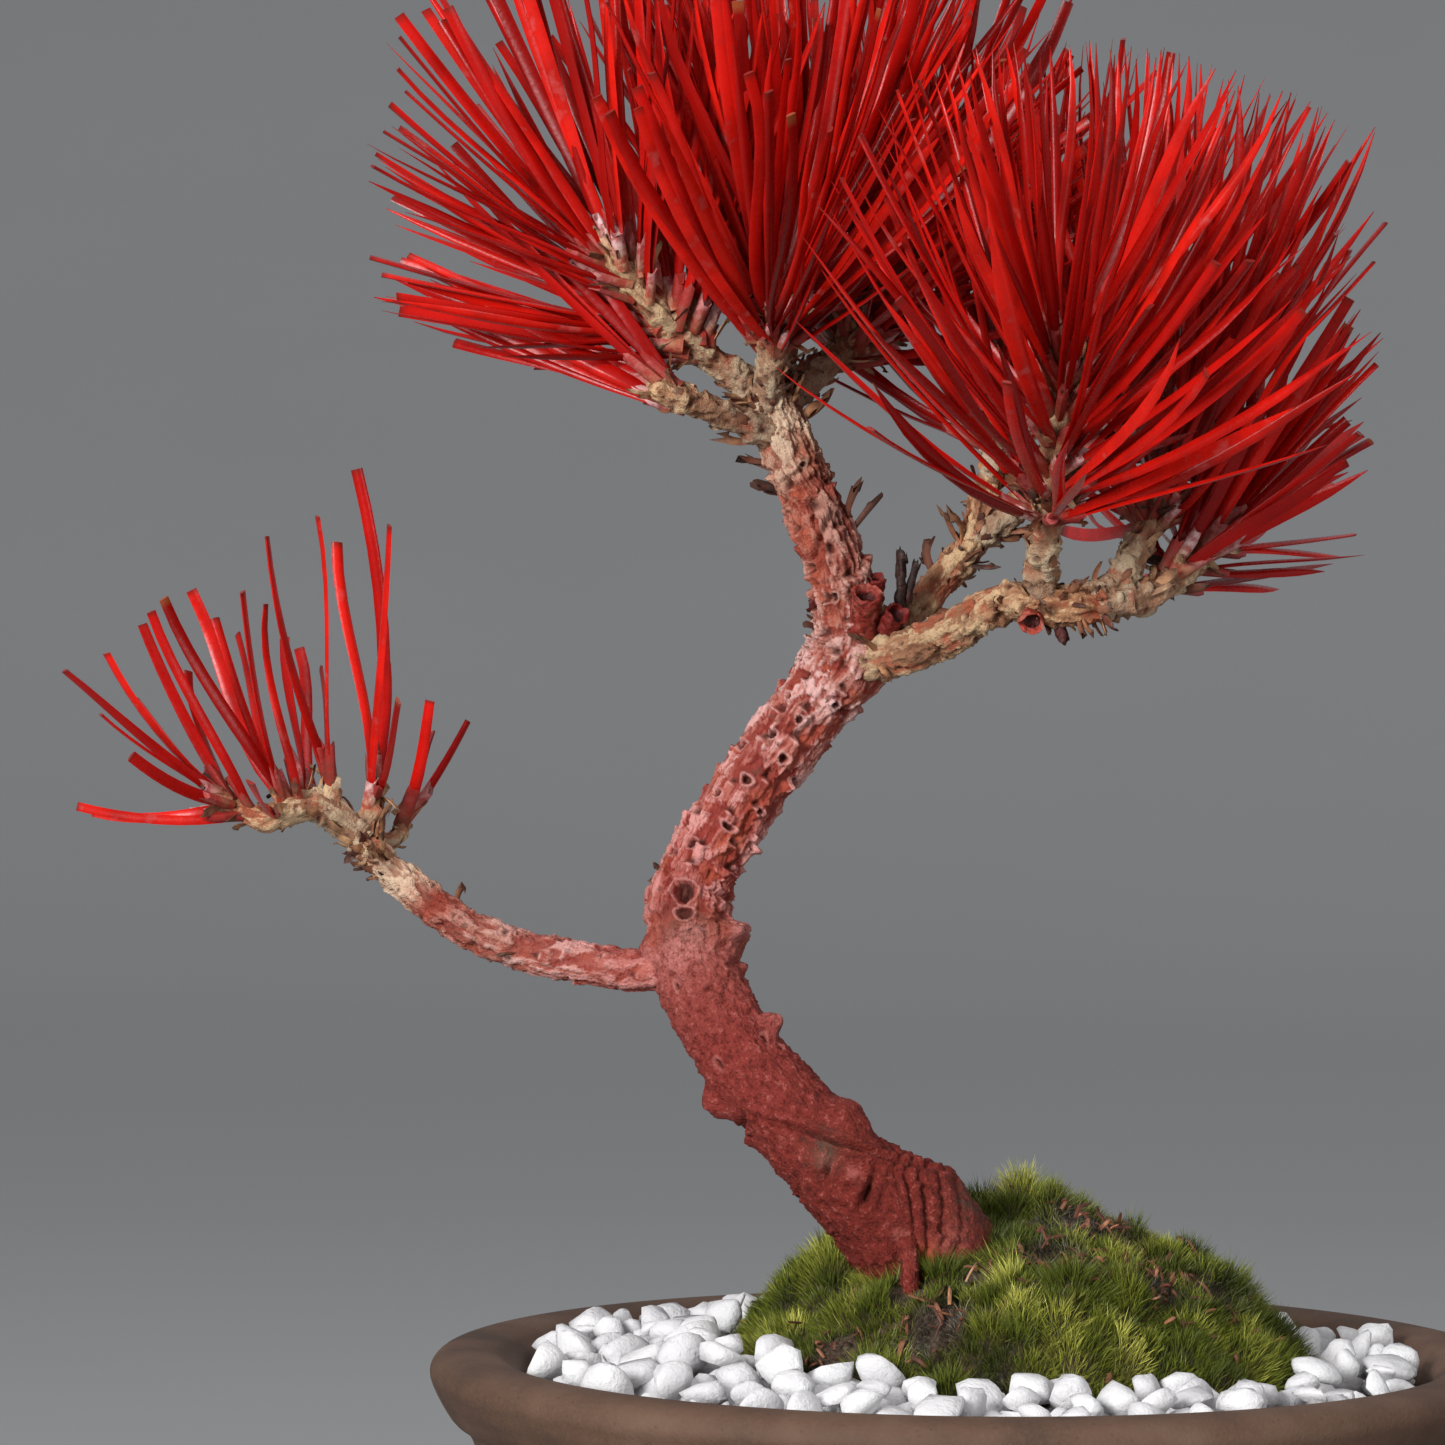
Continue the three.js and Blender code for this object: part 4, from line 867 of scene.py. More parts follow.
# Thin papery scales that lie along a stem, blunt and hollow towards it. sizes holds the limits of their
# length, width, curl and tone, or beta, the spread of the tones
def scaleParts(form, base, ahead, outward, sizes, random):
    x, z = form[0][:, 0], form[0][:, 2]
    count = len(base)
    length, width, curl = (random.uniform(*sizes[key], (count, 1)) for key in ("length", "width", "curl"))
    drawTones, limits = (random.beta, sizes["beta"]) if "beta" in sizes else (random.uniform, sizes["tone"])
    tones = drawTones(*limits, (count, 1))
    arc = (base - outward * 0.3, base + ahead * length * 0.35 + outward * length * 0.12,
           base + ahead * length * 0.75 + outward * length * (0.1 + 0.3 * curl),
           base + ahead * length * (1 - 0.3 * curl) + outward * length * curl)
    across = np.cross(ahead, outward) + random.normal(size=base.shape) * 0.1
    blunt = random.uniform(0.05, 0.6, (count, 1)) * np.interp(z, [0.6, 1], [0, 1])[None]
    shape = np.interp(z, [0, 0.35, 0.75, 1], [0.8, 1, 0.75, 0])[None] + blunt
    sag = np.interp(z, [0, 0.6, 1], [0.45, 0.35, 0.2])[None]
    thin = np.full(shape.shape, 0.1)
    corners = bentRods(form, arc, across, width * shape, thin, random.normal(0, 0.5, count))
    corners += outward[:, None] * (-(x[None] ** 2) * sag * width)[..., None]
    corners += ahead[:, None] * (random.uniform(-0.2, 0.1, (count, len(z))) * (z > 0.99) * length)[..., None]
    return corners, form[1], {"tone": tones, "along": z[None]}


# Papery tubes from each foot along its heading, torn by so many mm at the end
def sheathCorners(form, foot, heading, length, bend, side, radius, flatness, torn):
    arc = (foot - heading, foot + heading * length * 0.3 + bend, foot + heading * length * 0.7 + bend,
           foot + heading * length)
    corners = bentRods(form, arc, side, radius, radius * flatness)
    return corners + heading[:, None] * (torn * (form[0][None, :, 2] > 0.99))[..., None]


# The needles of one spray. Gives the foot and heading of each pair for its sheath
def placeNeedles(node, pairs, middle, form, material, random):
    arcs, across, cut, heading, foot = [], [], [], [], []
    for pair in pairs:
        base = np.mean([one["foot"] for one in pair], axis=0)
        ahead = unit(np.mean([unit(one["tip"] - base) for one in pair], axis=0))
        tips = [trimmedTip(node, base, one["tip"], random) for one in pair]
        if -ahead[1] > needles["frontmost"].get(node, 1) or any(tip is None for tip in tips):
            continue
        # needles bow outward from the brush and a little down
        droop = squareTo(ahead, (base + ahead * 15 - middle) * (0.6, 0.6, 0) + (0, 0, -9))
        apart = unit(pair[0]["tip"] - pair[-1]["tip"]) if len(pair) == 2 else unit(np.cross(ahead, droop))
        apart = squareTo(ahead, apart)
        heading.append(unit(ahead + droop * needles["droop"]))
        foot.append(base)
        for side, one, tip in zip((1, -1), pair, tips):
            way = tip - base
            length = np.linalg.norm(way)
            bow = droop * (random.uniform(0, needles["bow"].get(node, needles["usualBow"])) * length)
            sway = np.cross(ahead, droop) * random.normal(0, needles["sway"]) * length
            spread = side * apart * random.uniform(-0.6, 1.2)
            arcs.append((base + side * apart * needles["apart"],
                         base + ahead * length * 0.33 + bow + spread + sway,
                         base + way * 0.68 + bow * random.uniform(0.3, 1.2) - sway,
                         tip))
            across.append(np.cross(ahead, side * apart) + random.normal(size=3) * 0.25)
            cut.append(one["cut"])
    arcs, across, cut = np.array(arcs).transpose(1, 0, 2), np.array(across), np.array(cut)
    count = len(cut)
    cut &= random.random(count) > needles["pointed"].get(node, 0)
    z = form[0][None, :, 2]
    width = random.uniform(*needles["width"], count)[:, None] / 2
    body = 0.7 + 0.3 * np.sqrt(np.clip(z / 0.3, 0, 1))
    pointed = np.clip((1 - z) / 0.3, 0.03, 1) ** 0.75
    width = width * np.where(cut[:, None], body * (1 - 0.1 * z ** 2), body * pointed)
    corners = bentRods(form, arcs, across, width, width, random.normal(0, needles["twist"], count))
    values = {"tone": random.random(count)[:, None], "along": z}
    placeCopies(node + "_needles", [(corners, form[1], values)], material, [node], 50)
    return np.array(foot), np.array(heading)


def buildSprays():
    needleLook, sheathLook, scaleLook = needleMaterial(), sheathMaterial(), scaleMaterial()
    forms = (rodForm(bit["sides"], bit["rings"]) for bit in (needles, sheaths, scales))
    needleForm, sheathForm, scaleForm = forms
    needleForm[0][:, 1] *= np.where(needleForm[0][:, 1] < 0, needles["flatFace"], needles["roundFace"])
    for number, node in enumerate(sprayNodes):
        random = np.random.default_rng(100 + number)
        pairs = pairsOf(readNeedles(node))
        middle = np.mean([one["foot"] for pair in pairs for one in pair], axis=0)
        axis = unit(np.mean([one["tip"] for pair in pairs for one in pair], axis=0) - middle)
        share = needles["filled"].get(node, 0)
        pairs += [turnedPair(pair, axis, random) for pair in pairs if random.random() < share]
        foot, heading = placeNeedles(node, pairs, middle, needleForm, needleLook, random)

        count = len(foot)
        length = random.uniform(*sheaths["length"], count)[:, None]
        z = sheathForm[0][None, :, 2]
        radius = sheaths["radius"] * random.uniform(*sheaths["thickness"], count)[:, None] * (1.05 - 0.15 * z)
        side = np.cross(heading, random.normal(size=(count, 3)))
        torn = random.uniform(*sheaths["torn"], (count, z.size))
        corners = sheathCorners(sheathForm, foot, heading, length, 0, side, radius, 0.8, torn)
        values = {"tone": random.random(count)[:, None] ** 1.3, "along": z}
        placeCopies(node + "_sheaths", [(corners, sheathForm[1], values)], sheathLook, (), 50)

        base = foot + random.normal(size=(count, 3)) * 0.5
        ahead = unit(heading + random.normal(size=base.shape) * 0.4)
        outward = squareTo(ahead, foot - middle + random.normal(size=base.shape))
        part = scaleParts(scaleForm, base, ahead, outward, scales, random)
        placeCopies(node + "_scales", [part], scaleLook, (), 50)
    buildStemScales(scaleForm, sheathForm, scaleLook)


# Scales that shingle the shoots, and split sheaths of old needles left on the trunk and branches
stemScales = {
    # how many to a mm of shoot, and their sizes
    "perShootLength": 0.7,
    "onShoots": {"lean": (0, 0.3), "disorder": 0.15, "length": (1.2, 3.4), "width": (0.35, 0.9),
                 "curl": (-0.15, 0.5), "tone": (0.3, 1)},
    # small bits: stem, from and to along it from 0 to 1, how many
    "crumbs": [("right", 0.6, 1.0, 60), ("back", 0.5, 1.0, 45), ("left", 0.86, 1.0, 40),
               ("trunk", 0.94, 1.0, 60), ("trunk", 0.72, 0.8, 14)],
    "crumb": {"lean": (0, 0.8), "disorder": 0.4, "length": (0.8, 2.2), "width": (0.25, 0.7),
              "curl": (-0.1, 0.6), "beta": (1.2, 2.2)},
    # old sheaths by stem: place along it from 0 to 1, angle, how many, length, tone
    "dead": {
        "trunk": [
            (0.925, -95, 3, 4.6, 0.55), (0.905, -85, 2, 3.2, 0.15), (0.88, -95, 2, 3.0, 0.1),
            (0.955, -75, 3, 4.4, 0.75), (0.935, -70, 2, 3.8, 0.5), (0.935, 92, 2, 4.6, 0.45),
            (0.915, 85, 1, 3.4, 0.6), (0.83, 98, 2, 5.4, 0.2), (0.97, 60, 3, 4.0, 0.55),
            (0.985, 10, 3, 3.0, 0.3), (0.47, -90, 2, 1.2, 0.2), (0.505, -86, 1, 1.2, 0.1),
        ],
        "back": [
            (0.5, -120, 2, 3.8, 0.25), (0.62, 60, 2, 4.0, 0.15), (0.68, -60, 3, 4.2, 0.5),
            (0.8, 90, 3, 4.4, 0.4), (0.35, 90, 2, 4.0, 0.45),
        ],
        "right": [
            (0.1, -10, 2, 4.4, 0.6), (0.42, 170, 2, 5.2, 0.45), (0.68, 150, 2, 3.0, 0.12),
            (0.78, 20, 2, 2.4, 0.5), (0.85, -60, 2, 2.6, 0.4), (0.92, 60, 2, 2.6, 0.45),
            (0.95, 170, 2, 2.8, 0.5),
        ],
        "left": [
            (0.93, 0, 3, 3.6, 0.8), (0.97, 90, 3, 4.0, 0.6), (0.9, 180, 2, 4.0, 0.4),
            (0.5, -20, 1, 2.0, 0.3), (0.66, 80, 1, 2.4, 0.4),
        ],
    },
}


# Places just under a stem's surface, with the directions along and out of it
def stemFoot(line, t, angle):
    centre, direction, radius = stemAt(line, t)
    front = squareTo(direction, np.array([0, -1.0, 0]))
    outward = front * np.cos(angle)[:, None] + np.cross(direction, front) * np.sin(angle)[:, None]
    return centre + outward * (radius * 0.92)[:, None], direction, outward


# Leans a direction towards another by a random share, with some disorder
def leaned(ahead, towards, lean, disorder, random):
    share = random.uniform(*lean, (len(ahead), 1))
    return unit(ahead + towards * share + random.normal(size=ahead.shape) * disorder)


def buildStemScales(scaleForm, sheathForm, material):
    random = np.random.default_rng(55)
    lines = {"trunk": trunkLine, **branchLines}
    parts = []

    def addScales(line, places, sizes):
        base, ahead, outward = stemFoot(line, places, random.uniform(0, 2 * math.pi, len(places)))
        ahead = leaned(ahead, outward, sizes["lean"], sizes["disorder"], random)
        parts.append(scaleParts(scaleForm, base, ahead, squareTo(ahead, outward), sizes, random))

    for line in shootLines.values():
        count = int(lengthOf(line) * stemScales["perShootLength"])
        addScales(line, random.random(count), stemScales["onShoots"])
    for stem, start, end, count in stemScales["crumbs"]:
        addScales(lines[stem], random.uniform(start, end, count), stemScales["crumb"])
    z = sheathForm[0][None, :, 2]
    dead = [(lines[stem], *row) for stem, rows in stemScales["dead"].items() for row in rows]
    for line, place, angle, count, length, tone in dead:
        t = np.clip(place + random.normal(0, 0.007, count), 0, 1)
        base, ahead, outward = stemFoot(line, t, math.radians(angle) + random.normal(0, 0.3, count))
        ahead = leaned(outward, ahead, (0.2, 0.9), 0.15, random)
        side = np.cross(ahead, random.normal(size=base.shape))
        size = length * random.uniform(0.7, 1.1, (count, 1))
        bend = random.normal(size=base.shape) * size * 0.12
        radius = random.uniform(0.4, 0.6, (count, 1)) * (0.85 + 0.4 * z ** 2)
        torn = random.uniform(-0.4, 0.25, (count, z.size)) * size
        corners = sheathCorners(sheathForm, base, ahead, size, bend, side, radius, 0.5, torn)
        tones = np.clip(tone + random.normal(0, 0.1, (count, 1)), 0, 1)
        parts.append((corners, sheathForm[1], {"tone": tones, "along": z}))
    placeCopies("stemScales", parts, material, (), 50)


# Cut stubs: short hollow-topped rings of wood where shoots were pruned

stubs = {
    "sides": 28, "rings": 15,
    # foot, way it points, length, radius, tone. Tone 0 is dead wood, grained and chipped
    "places": [
        ((-13.9, 3.4, 134.0), (0.12, -0.8, 0.9), 5.8, 1.7, 0.3),
        ((-13.0, 5.0, 136.9), (0.3, -0.4, 1.0), 3.8, 1.1, 0.2),
        ((-10.8, 3.2, 134.4), (0.45, -0.9, 0.6), 3.2, 1.4, 0.2),
        ((-9.2, 5.6, 136.8), (0.03, 0.0, 1.0), 6.4, 0.6, 0.0),
        ((-8.4, 6.2, 137.4), (0.25, 0.0, 1.0), 4.6, 0.5, 0.0),
        ((5.6, -16.4, 136.2), (-0.1, -1, -0.5), 3.4, 1.35, 0.45),
        ((8.3, -17.2, 135.6), (0.3, -0.3, -1), 3.2, 0.7, 0.05),
        ((-17.6, 6.5, 136.5), (-1, -0.1, 0.3), 2.6, 0.9, 0.1),
    ],
    "rind": [(0.0, (0.02, 0.01, 0.008)), (0.2, (0.15, 0.012, 0.009)), (0.5, (0.36, 0.05, 0.03))],
    "pale": [(0.0, (0.06, 0.02, 0.014)), (0.2, (0.3, 0.05, 0.035)), (0.5, (0.56, 0.22, 0.16))],
    # the hole colour is painted shade for the hollow of each cut
    "dark": (0.05, 0.01, 0.007), "hole": (0.05, 0.004, 0.003), "relief": 0.4,
}


def stubMaterial():
    material, tree, place = newMaterial("cutWood")
    tone, along = valueOn(tree, "tone"), valueOn(tree, "along")
    lightMask = mottleOn(tree, place, 1.2, 0.5, 0.66, 0.7, 0.65)[0]
    darkMask, cloud = mottleOn(tree, place, 0.9, 0.5, 0.36, 0.8, 0.65)
    colour = mixOn(tree, lightMask, rampOn(tree, tone, stubs["rind"]), rampOn(tree, tone, stubs["pale"]))
    colour = mixOn(tree, darkMask, colour, stubs["dark"])
    # the hollow of the cut is darkened with painted shade
    colour = mixOn(tree, levelsOn(tree, along, 1.0, 1.3), colour, stubs["hole"])
    return finish(material, colour, cloud, (0.3, 0.7), bumpOn(tree, cloud, stubs["relief"]), 0.25)


def buildStubs():
    parts = []
    for foot, way, length, radius, tone in stubs["places"]:
        shape = rodShape(stubs["sides"], stubs["rings"], radius, length)
        top = max(shape.faces, key=lambda face: face.calc_center_median().z)
        # a low rim, then the hole: share of the radius inwards, and mm up
        for inward, depth in ((0.1, 0.1), (0.12, -0.1), (0.1, -radius * 0.7), (0.3, -radius * 0.1)):
            bmesh.ops.inset_region(shape, faces=[top], thickness=radius * inward, depth=depth)
        corners, faces = formOf(shape)
        inside = np.hypot(corners[:, 0], corners[:, 1]) < radius * 0.72
        grain = wander(corners + np.array(foot), 0.9, 3, 4)
        chip = wander(corners + np.array(foot), 0.8, 9, 3) * (corners[:, 2] > length * 0.6)
        widening = 0.25 * bell(corners[:, 2], 1.0) + 0.08 * bell(corners[:, 2] - length, 0.5)
        corners[:, :2] *= (1 + (0.22 if tone else 0.4) * grain * ~inside + widening)[:, None]
        corners[:, 2] += (0.6 if tone else 1.6) * chip
        turn = np.array(Vector(way).to_track_quat("Z", "X").to_matrix())
        corners = corners @ turn.T + np.array(foot)
        parts.append((corners[None], faces, {"tone": tone, "along": np.where(inside, 1.4, 0.5)[None]}))
    placeCopies("cutStubs", parts, stubMaterial(), (), 60)


# Moss: a mound of soil, fine hairs that follow the solids' mound, and bits of litter

moss = {
    "x": 4, "y": -1.5, "reachX": 35, "reachY": 31.5, "dome": 16, "bed": 43.5, "gridSteps": 150,
    "hills": [(8, 10, 6.5, 11), (-21, 0, 4, 8), (28, 2, 3, 9), (10, -22, 2.5, 8)],
    # places with dead moss, where soil and litter show: x, y, size
    "bare": [(9, -12, 6.5), (-5, -24, 4.5), (-17, -23, 3.5), (21, -13, 4.5), (14, 0, 6), (0, -17, 3.5),
             (27, -8, 3.5)],
    # bright tufts, and at the left edge painted glints where the light falls: x, y, size
    "brightAndGlint": [(-26, -10, 9), (4, -21.5, 3.5), (16, -24, 4.5), (12, 8, 7), (30, -14, 4), (-20, -4, 6),
               (15, -5, 3)],
    # the trunk's foot and the root, where nothing grows: x, y, radius
    "clear": [(-4.5, -5.5, 6.5), (-8.2, -16.8, 2.6)],
    "hairs": 51000, "pieces": 2, "length": (1.2, 2.6), "halfWidth": (0.028, 0.055),
    "tufts": 620, "tuftReach": 2.2, "tuftLength": (0.6, 1.5), "tuftDome": 1.5,
    # the soil lies this much higher than the solid, and is this rough
    "soilRise": 1.2, "soilRough": 0.9,
    # hairs are darker at the foot than at the tip: partly the older growth, partly painted shade deep in the
    # mat
    "hairFoot": [(0.0, (0.018, 0.022, 0.004)), (0.5, (0.042, 0.055, 0.007)), (1.0, (0.1, 0.115, 0.014))],
    # the palest tip colour is a painted yellow glint, reached in the left edge's spot
    "hairTip": [(0.0, (0.05, 0.064, 0.014)), (0.4, (0.1, 0.125, 0.014)), (0.75, (0.23, 0.25, 0.028)),
                (1.0, (0.66, 0.64, 0.13))],
    "dead": [(0.0, (0.02, 0.014, 0.01)), (0.35, (0.07, 0.045, 0.03)), (0.7, (0.11, 0.1, 0.085)),
             (1.0, (0.22, 0.2, 0.17))],
    "brown": (0.09, 0.06, 0.025),
}
litter = {
    "count": 240, "sides": 6, "rings": 4, "length": (0.8, 2.6), "width": (0.15, 0.4), "curl": (-0.1, 0.5),
    "beta": (1.5, 3.5),
    "soil": [(0.35, (0.02, 0.022, 0.007)), (0.48, (0.035, 0.024, 0.014)), (0.6, (0.09, 0.05, 0.03)),
             (0.7, (0.03, 0.03, 0.025))],
    "crumb": (0.16, 0.14, 0.11), "gap": (0.012, 0.009, 0.006), "relief": 0.6,
}


def mossEdge(angle):
    oval = 1 / np.hypot(np.cos(angle) / moss["reachX"], np.sin(angle) / moss["reachY"])
    return oval * (1 + 0.03 * np.sin(3 * angle + 1) + 0.02 * np.sin(7 * angle))


# From the mound's middle, reach being 0 there and 1 on the edge
def onMound(reach, angle):
    edge = mossEdge(angle)
    return moss["x"] + reach * edge * np.cos(angle), moss["y"] + reach * edge * np.sin(angle)


def moundTop(x, y):
    dx, dy = x - moss["x"], y - moss["y"]
    reach = np.hypot(dx, dy) / mossEdge(np.arctan2(dy, dx))
    height = moss["dome"] * np.maximum(0, 1 - reach ** 2) ** 0.8
    for hillX, hillY, rise, size in moss["hills"]:
        height += rise * bell(np.hypot(x - hillX, y - hillY), size) * np.clip((1 - reach) * 4, 0, 1)
    return moss["bed"] + height


def spotsAt(spots, x, y):
    return np.max([bell(np.hypot(x - spotX, y - spotY), size) for spotX, spotY, size in spots], axis=0)


def mossPlaces(count, random):
    reach, angle = np.sqrt(random.random(count)) * 1.015, random.uniform(0, 2 * math.pi, count)
    x, y = onMound(reach, angle)
    keep = np.all([np.hypot(x - clearX, y - clearY) > gap for clearX, clearY, gap in moss["clear"]], axis=0)
    return x[keep], y[keep]


def mossNormal(x, y):
    z = moundTop(x, y)
    slope = np.stack([(moundTop(x + 0.5, y) - z) / 0.5, (moundTop(x, y + 0.5) - z) / 0.5], -1)
    return unit(np.concatenate([-slope * 0.8, np.ones((len(x), 1))], 1))


def mossMaterial():
    material, tree, place = newMaterial("mossHair")
    tone = valueOn(tree, "tone")
    foot, tip, dead = (rampOn(tree, tone, moss[key]) for key in ("hairFoot", "hairTip", "dead"))
    # from the dark foot to the light tip: partly the older growth, partly painted shade deep in the mat
    colour = mixOn(tree, levelsOn(tree, valueOn(tree, "along"), 0.05, 0.8), foot, tip)
    brown, cloud = mottleOn(tree, place, 5, 0.56, 0.72, 0.5)
    colour = mixOn(tree, brown, colour, moss["brown"])
    colour = mixOn(tree, valueOn(tree, "dry"), colour, dead)
    return finish(material, colour, cloud, (0.35, 0.55), specular=0.25)


def litterMaterial():
    material, tree, place = newMaterial("mossLitter")
    cloud = mottleOn(tree, place, 4)[1]
    crumb = mottleOn(tree, place, 0.5, 0.52, 0.68, 0.7, 0.7)[0]
    gap, grain = mottleOn(tree, place, 0.6, 0.42, 0.3, 0.7, 0.7)
    colour = mixOn(tree, crumb, rampOn(tree, cloud, litter["soil"]), litter["crumb"])
    colour = mixOn(tree, gap, colour, litter["gap"])
    return finish(material, colour, grain, (0.65, 0.95), bumpOn(tree, grain, litter["relief"]))


def buildMossBed():
    shape = bmesh.new()
    bmesh.ops.create_grid(shape, x_segments=moss["gridSteps"], y_segments=moss["gridSteps"], size=1)
    corners = np.array([vert.co for vert in shape.verts])
    # the square grid is pulled round, so that its rim is the mound's edge
    reach = np.maximum(np.abs(corners[:, 0]), np.abs(corners[:, 1]))
    x, y = onMound(reach, np.arctan2(corners[:, 1], corners[:, 0]))
    rough = wander(np.stack([x, y, 0 * x], 1), 1.6, 3, 5)
    z = moundTop(x, y) + moss["soilRise"] + moss["soilRough"] * rough * np.clip((1 - reach) * 8, 0, 1)
    for vert, place in zip(shape.verts, zip(x, y, z)):
        vert.co = place
    rim = [edge for edge in shape.edges if edge.is_boundary]
    for part in bmesh.ops.extrude_edge_only(shape, edges=rim)["geom"]:
        if isinstance(part, bmesh.types.BMVert):
            part.co.z = moss["bed"]
    bmesh.ops.holes_fill(shape, edges=[edge for edge in shape.edges if edge.is_boundary], sides=0)
    bmesh.ops.recalc_face_normals(shape, faces=shape.faces)
    placePiece("mossBed", meshOf("mossBed", shape), litterMaterial(), ["moss"])


# Hairs stand in tufts, each with its own tone, length and dome, and lie flat where the moss is dead
def buildMossHairs():
    blade = bmesh.new()
    bmesh.ops.create_grid(blade, x_segments=1, y_segments=2, size=1)
    bmesh.ops.pointmerge(blade, verts=[vert for vert in blade.verts if vert.co.y > 0.5], merge_co=(0, 1, 0))
    bladeForm = formOf(blade)
    side, rise = bladeForm[0][:, 0], bladeForm[0][:, 1] * 0.5 + 0.5
    material = mossMaterial()
    random = np.random.default_rng(7)
    centres = random.uniform((-40, -40), (48, 38), (moss["tufts"], 2))
    # tufts in these spots are lighter: real bright tufts, and at the left edge a painted glint
    tuftTone = random.beta(1.8, 2.6, moss["tufts"]) + 0.35 * spotsAt(moss["brightAndGlint"], *centres.T)
    tuftLength = random.uniform(*moss["tuftLength"], moss["tufts"])
    for piece in range(moss["pieces"]):
        x, y = mossPlaces(moss["hairs"], random)
        dry = stepBetween(0.3, 0.6, spotsAt(moss["bare"], x, y) * random.uniform(0.6, 1.3, len(x)))
        place = np.stack([x, y], -1)
        tuft = np.concatenate([((some[:, None] - centres[None]) ** 2).sum(-1).argmin(1)
                               for some in np.array_split(place, 40)])
        away = np.concatenate([(place - centres[tuft]) / moss["tuftReach"], np.zeros((len(x), 1))], 1)
        messy = random.normal(size=away.shape) * (0.3 + 0.6 * dry[:, None])
        way = unit(mossNormal(x, y) + away * 0.5 + messy + (0, 0, 0.3))
        length = random.uniform(*moss["length"], len(x)) * tuftLength[tuft] * (1 - 0.5 * dry)
        dome = np.clip(1 - (away ** 2).sum(1), 0, 1) * tuftLength[tuft] * moss["tuftDome"] * (1 - 0.8 * dry)
        foot = np.stack([x, y, moundTop(x, y) + 0.6 + dome], -1)
        curl = unit(away + random.normal(size=away.shape) * 0.5) * (length * (0.22 + 0.3 * dry))[:, None]
        halfWidth = random.uniform(*moss["halfWidth"], len(x))[:, None]
        across = unit(np.cross(way, random.normal(size=away.shape))) * halfWidth
        corners = (foot[:, None] + way[:, None] * (length[:, None] * rise)[..., None]
                   + curl[:, None] * (rise ** 2)[None, :, None] + across[:, None] * side[None, :, None])
        tone = np.clip(tuftTone[tuft] + random.normal(0, 0.1, len(x)), 0, 1)
        values = {"tone": tone[:, None], "along": rise[None], "dry": dry[:, None]}
        placeCopies(f"mossHairs{piece + 1}", [(corners, bladeForm[1], values)], material)


# Bits of dry scale and needle fallen on the moss, most of them where it is bare
def buildLitter():
    random = np.random.default_rng(9)
    x, y = mossPlaces(litter["count"] * 8, random)
    likely = 0.05 + spotsAt(moss["bare"], x, y)
    chosen = random.choice(len(x), litter["count"], replace=False, p=likely / likely.sum())
    x, y = x[chosen], y[chosen]
    up = mossNormal(x, y)
    base = np.stack([x, y, moundTop(x, y) + 1.6], -1) + up * random.uniform(0.2, 1.4, (len(x), 1))
    ahead = squareTo(up, random.normal(size=base.shape))
    ahead = unit(ahead + up * random.uniform(-0.1, 0.5, (len(x), 1)))
    part = scaleParts(rodForm(litter["sides"], litter["rings"]), base, ahead, up, litter, random)
    placeCopies("mossLitter", [part], bpy.data.materials["dryScale"], (), 50)


# Gravel: three layers of chalky pebbles between the moss and the pot's wall

gravel = {
    "forms": 24, "points": 13, "size": (2.75, 4.8), "gap": 0.8, "outer": 52.0, "inner": 26,
    # a pebble's height and depth as shares of its length
    "height": (0.55, 0.8), "depth": (0.75, 0.95),
    # height of the middles, spacing and how many tries
    "layers": [(44.0, 4.9, 6000), (46.6, 5.0, 6000), (42.0, 4.8, 5000)],
    # the ring is heaped up towards the moss on its left side, by this share of the way from the wall
    "heap": 0.16, "heapFrom": (15, -30),
    "colours": [(0.0, (0.62, 0.61, 0.62)), (0.5, (0.68, 0.67, 0.675)), (1.0, (0.73, 0.725, 0.73))],
    "shade": (0.55, 0.53, 0.55), "dirt": (0.52, 0.48, 0.47), "relief": 0.22,
}


def pebbleForms(random):
    forms = []
    for _ in range(gravel["forms"]):
        shape = bmesh.new()
        spread = unit(random.normal(size=(gravel["points"], 3)))
        spread *= random.uniform(0.85, 1.1, (gravel["points"], 1))
        for place in spread * (1, random.uniform(*gravel["depth"]), random.uniform(*gravel["height"])):
            shape.verts.new(place)
        hull = bmesh.ops.convex_hull(shape, input=shape.verts)
        loose = [vert for vert in hull["geom_unused"] if isinstance(vert, bmesh.types.BMVert)]
        bmesh.ops.delete(shape, geom=loose, context="VERTS")
        bmesh.ops.subdivide_edges(shape, edges=shape.edges, cuts=1, use_grid_fill=True)
        bmesh.ops.smooth_vert(shape, verts=shape.verts, factor=0.5, use_axis_x=True, use_axis_y=True,
                              use_axis_z=True)
        corners, faces = formOf(shape)
        corners *= 1 + 0.1 * wander(corners, 0.6, len(forms), 3)[:, None]
        forms.append((corners, faces))
    return forms


def stoneMaterial():
    material, tree, place = newMaterial("whiteStone")
    shade, cloud = mottleOn(tree, place, 2.6, 0.5, 0.72, 0.4, 0.6)
    dirt, grain = mottleOn(tree, place, 0.5, 0.42, 0.3, 0.5, 0.7)
    colour = mixOn(tree, shade, rampOn(tree, valueOn(tree, "tone"), gravel["colours"]), gravel["shade"])
    colour = mixOn(tree, dirt, colour, gravel["dirt"])
    height = addOn(tree, grain, cloud, 2.0)
    return finish(material, colour, grain, (0.75, 0.95), bumpOn(tree, height, gravel["relief"]), 0.15)


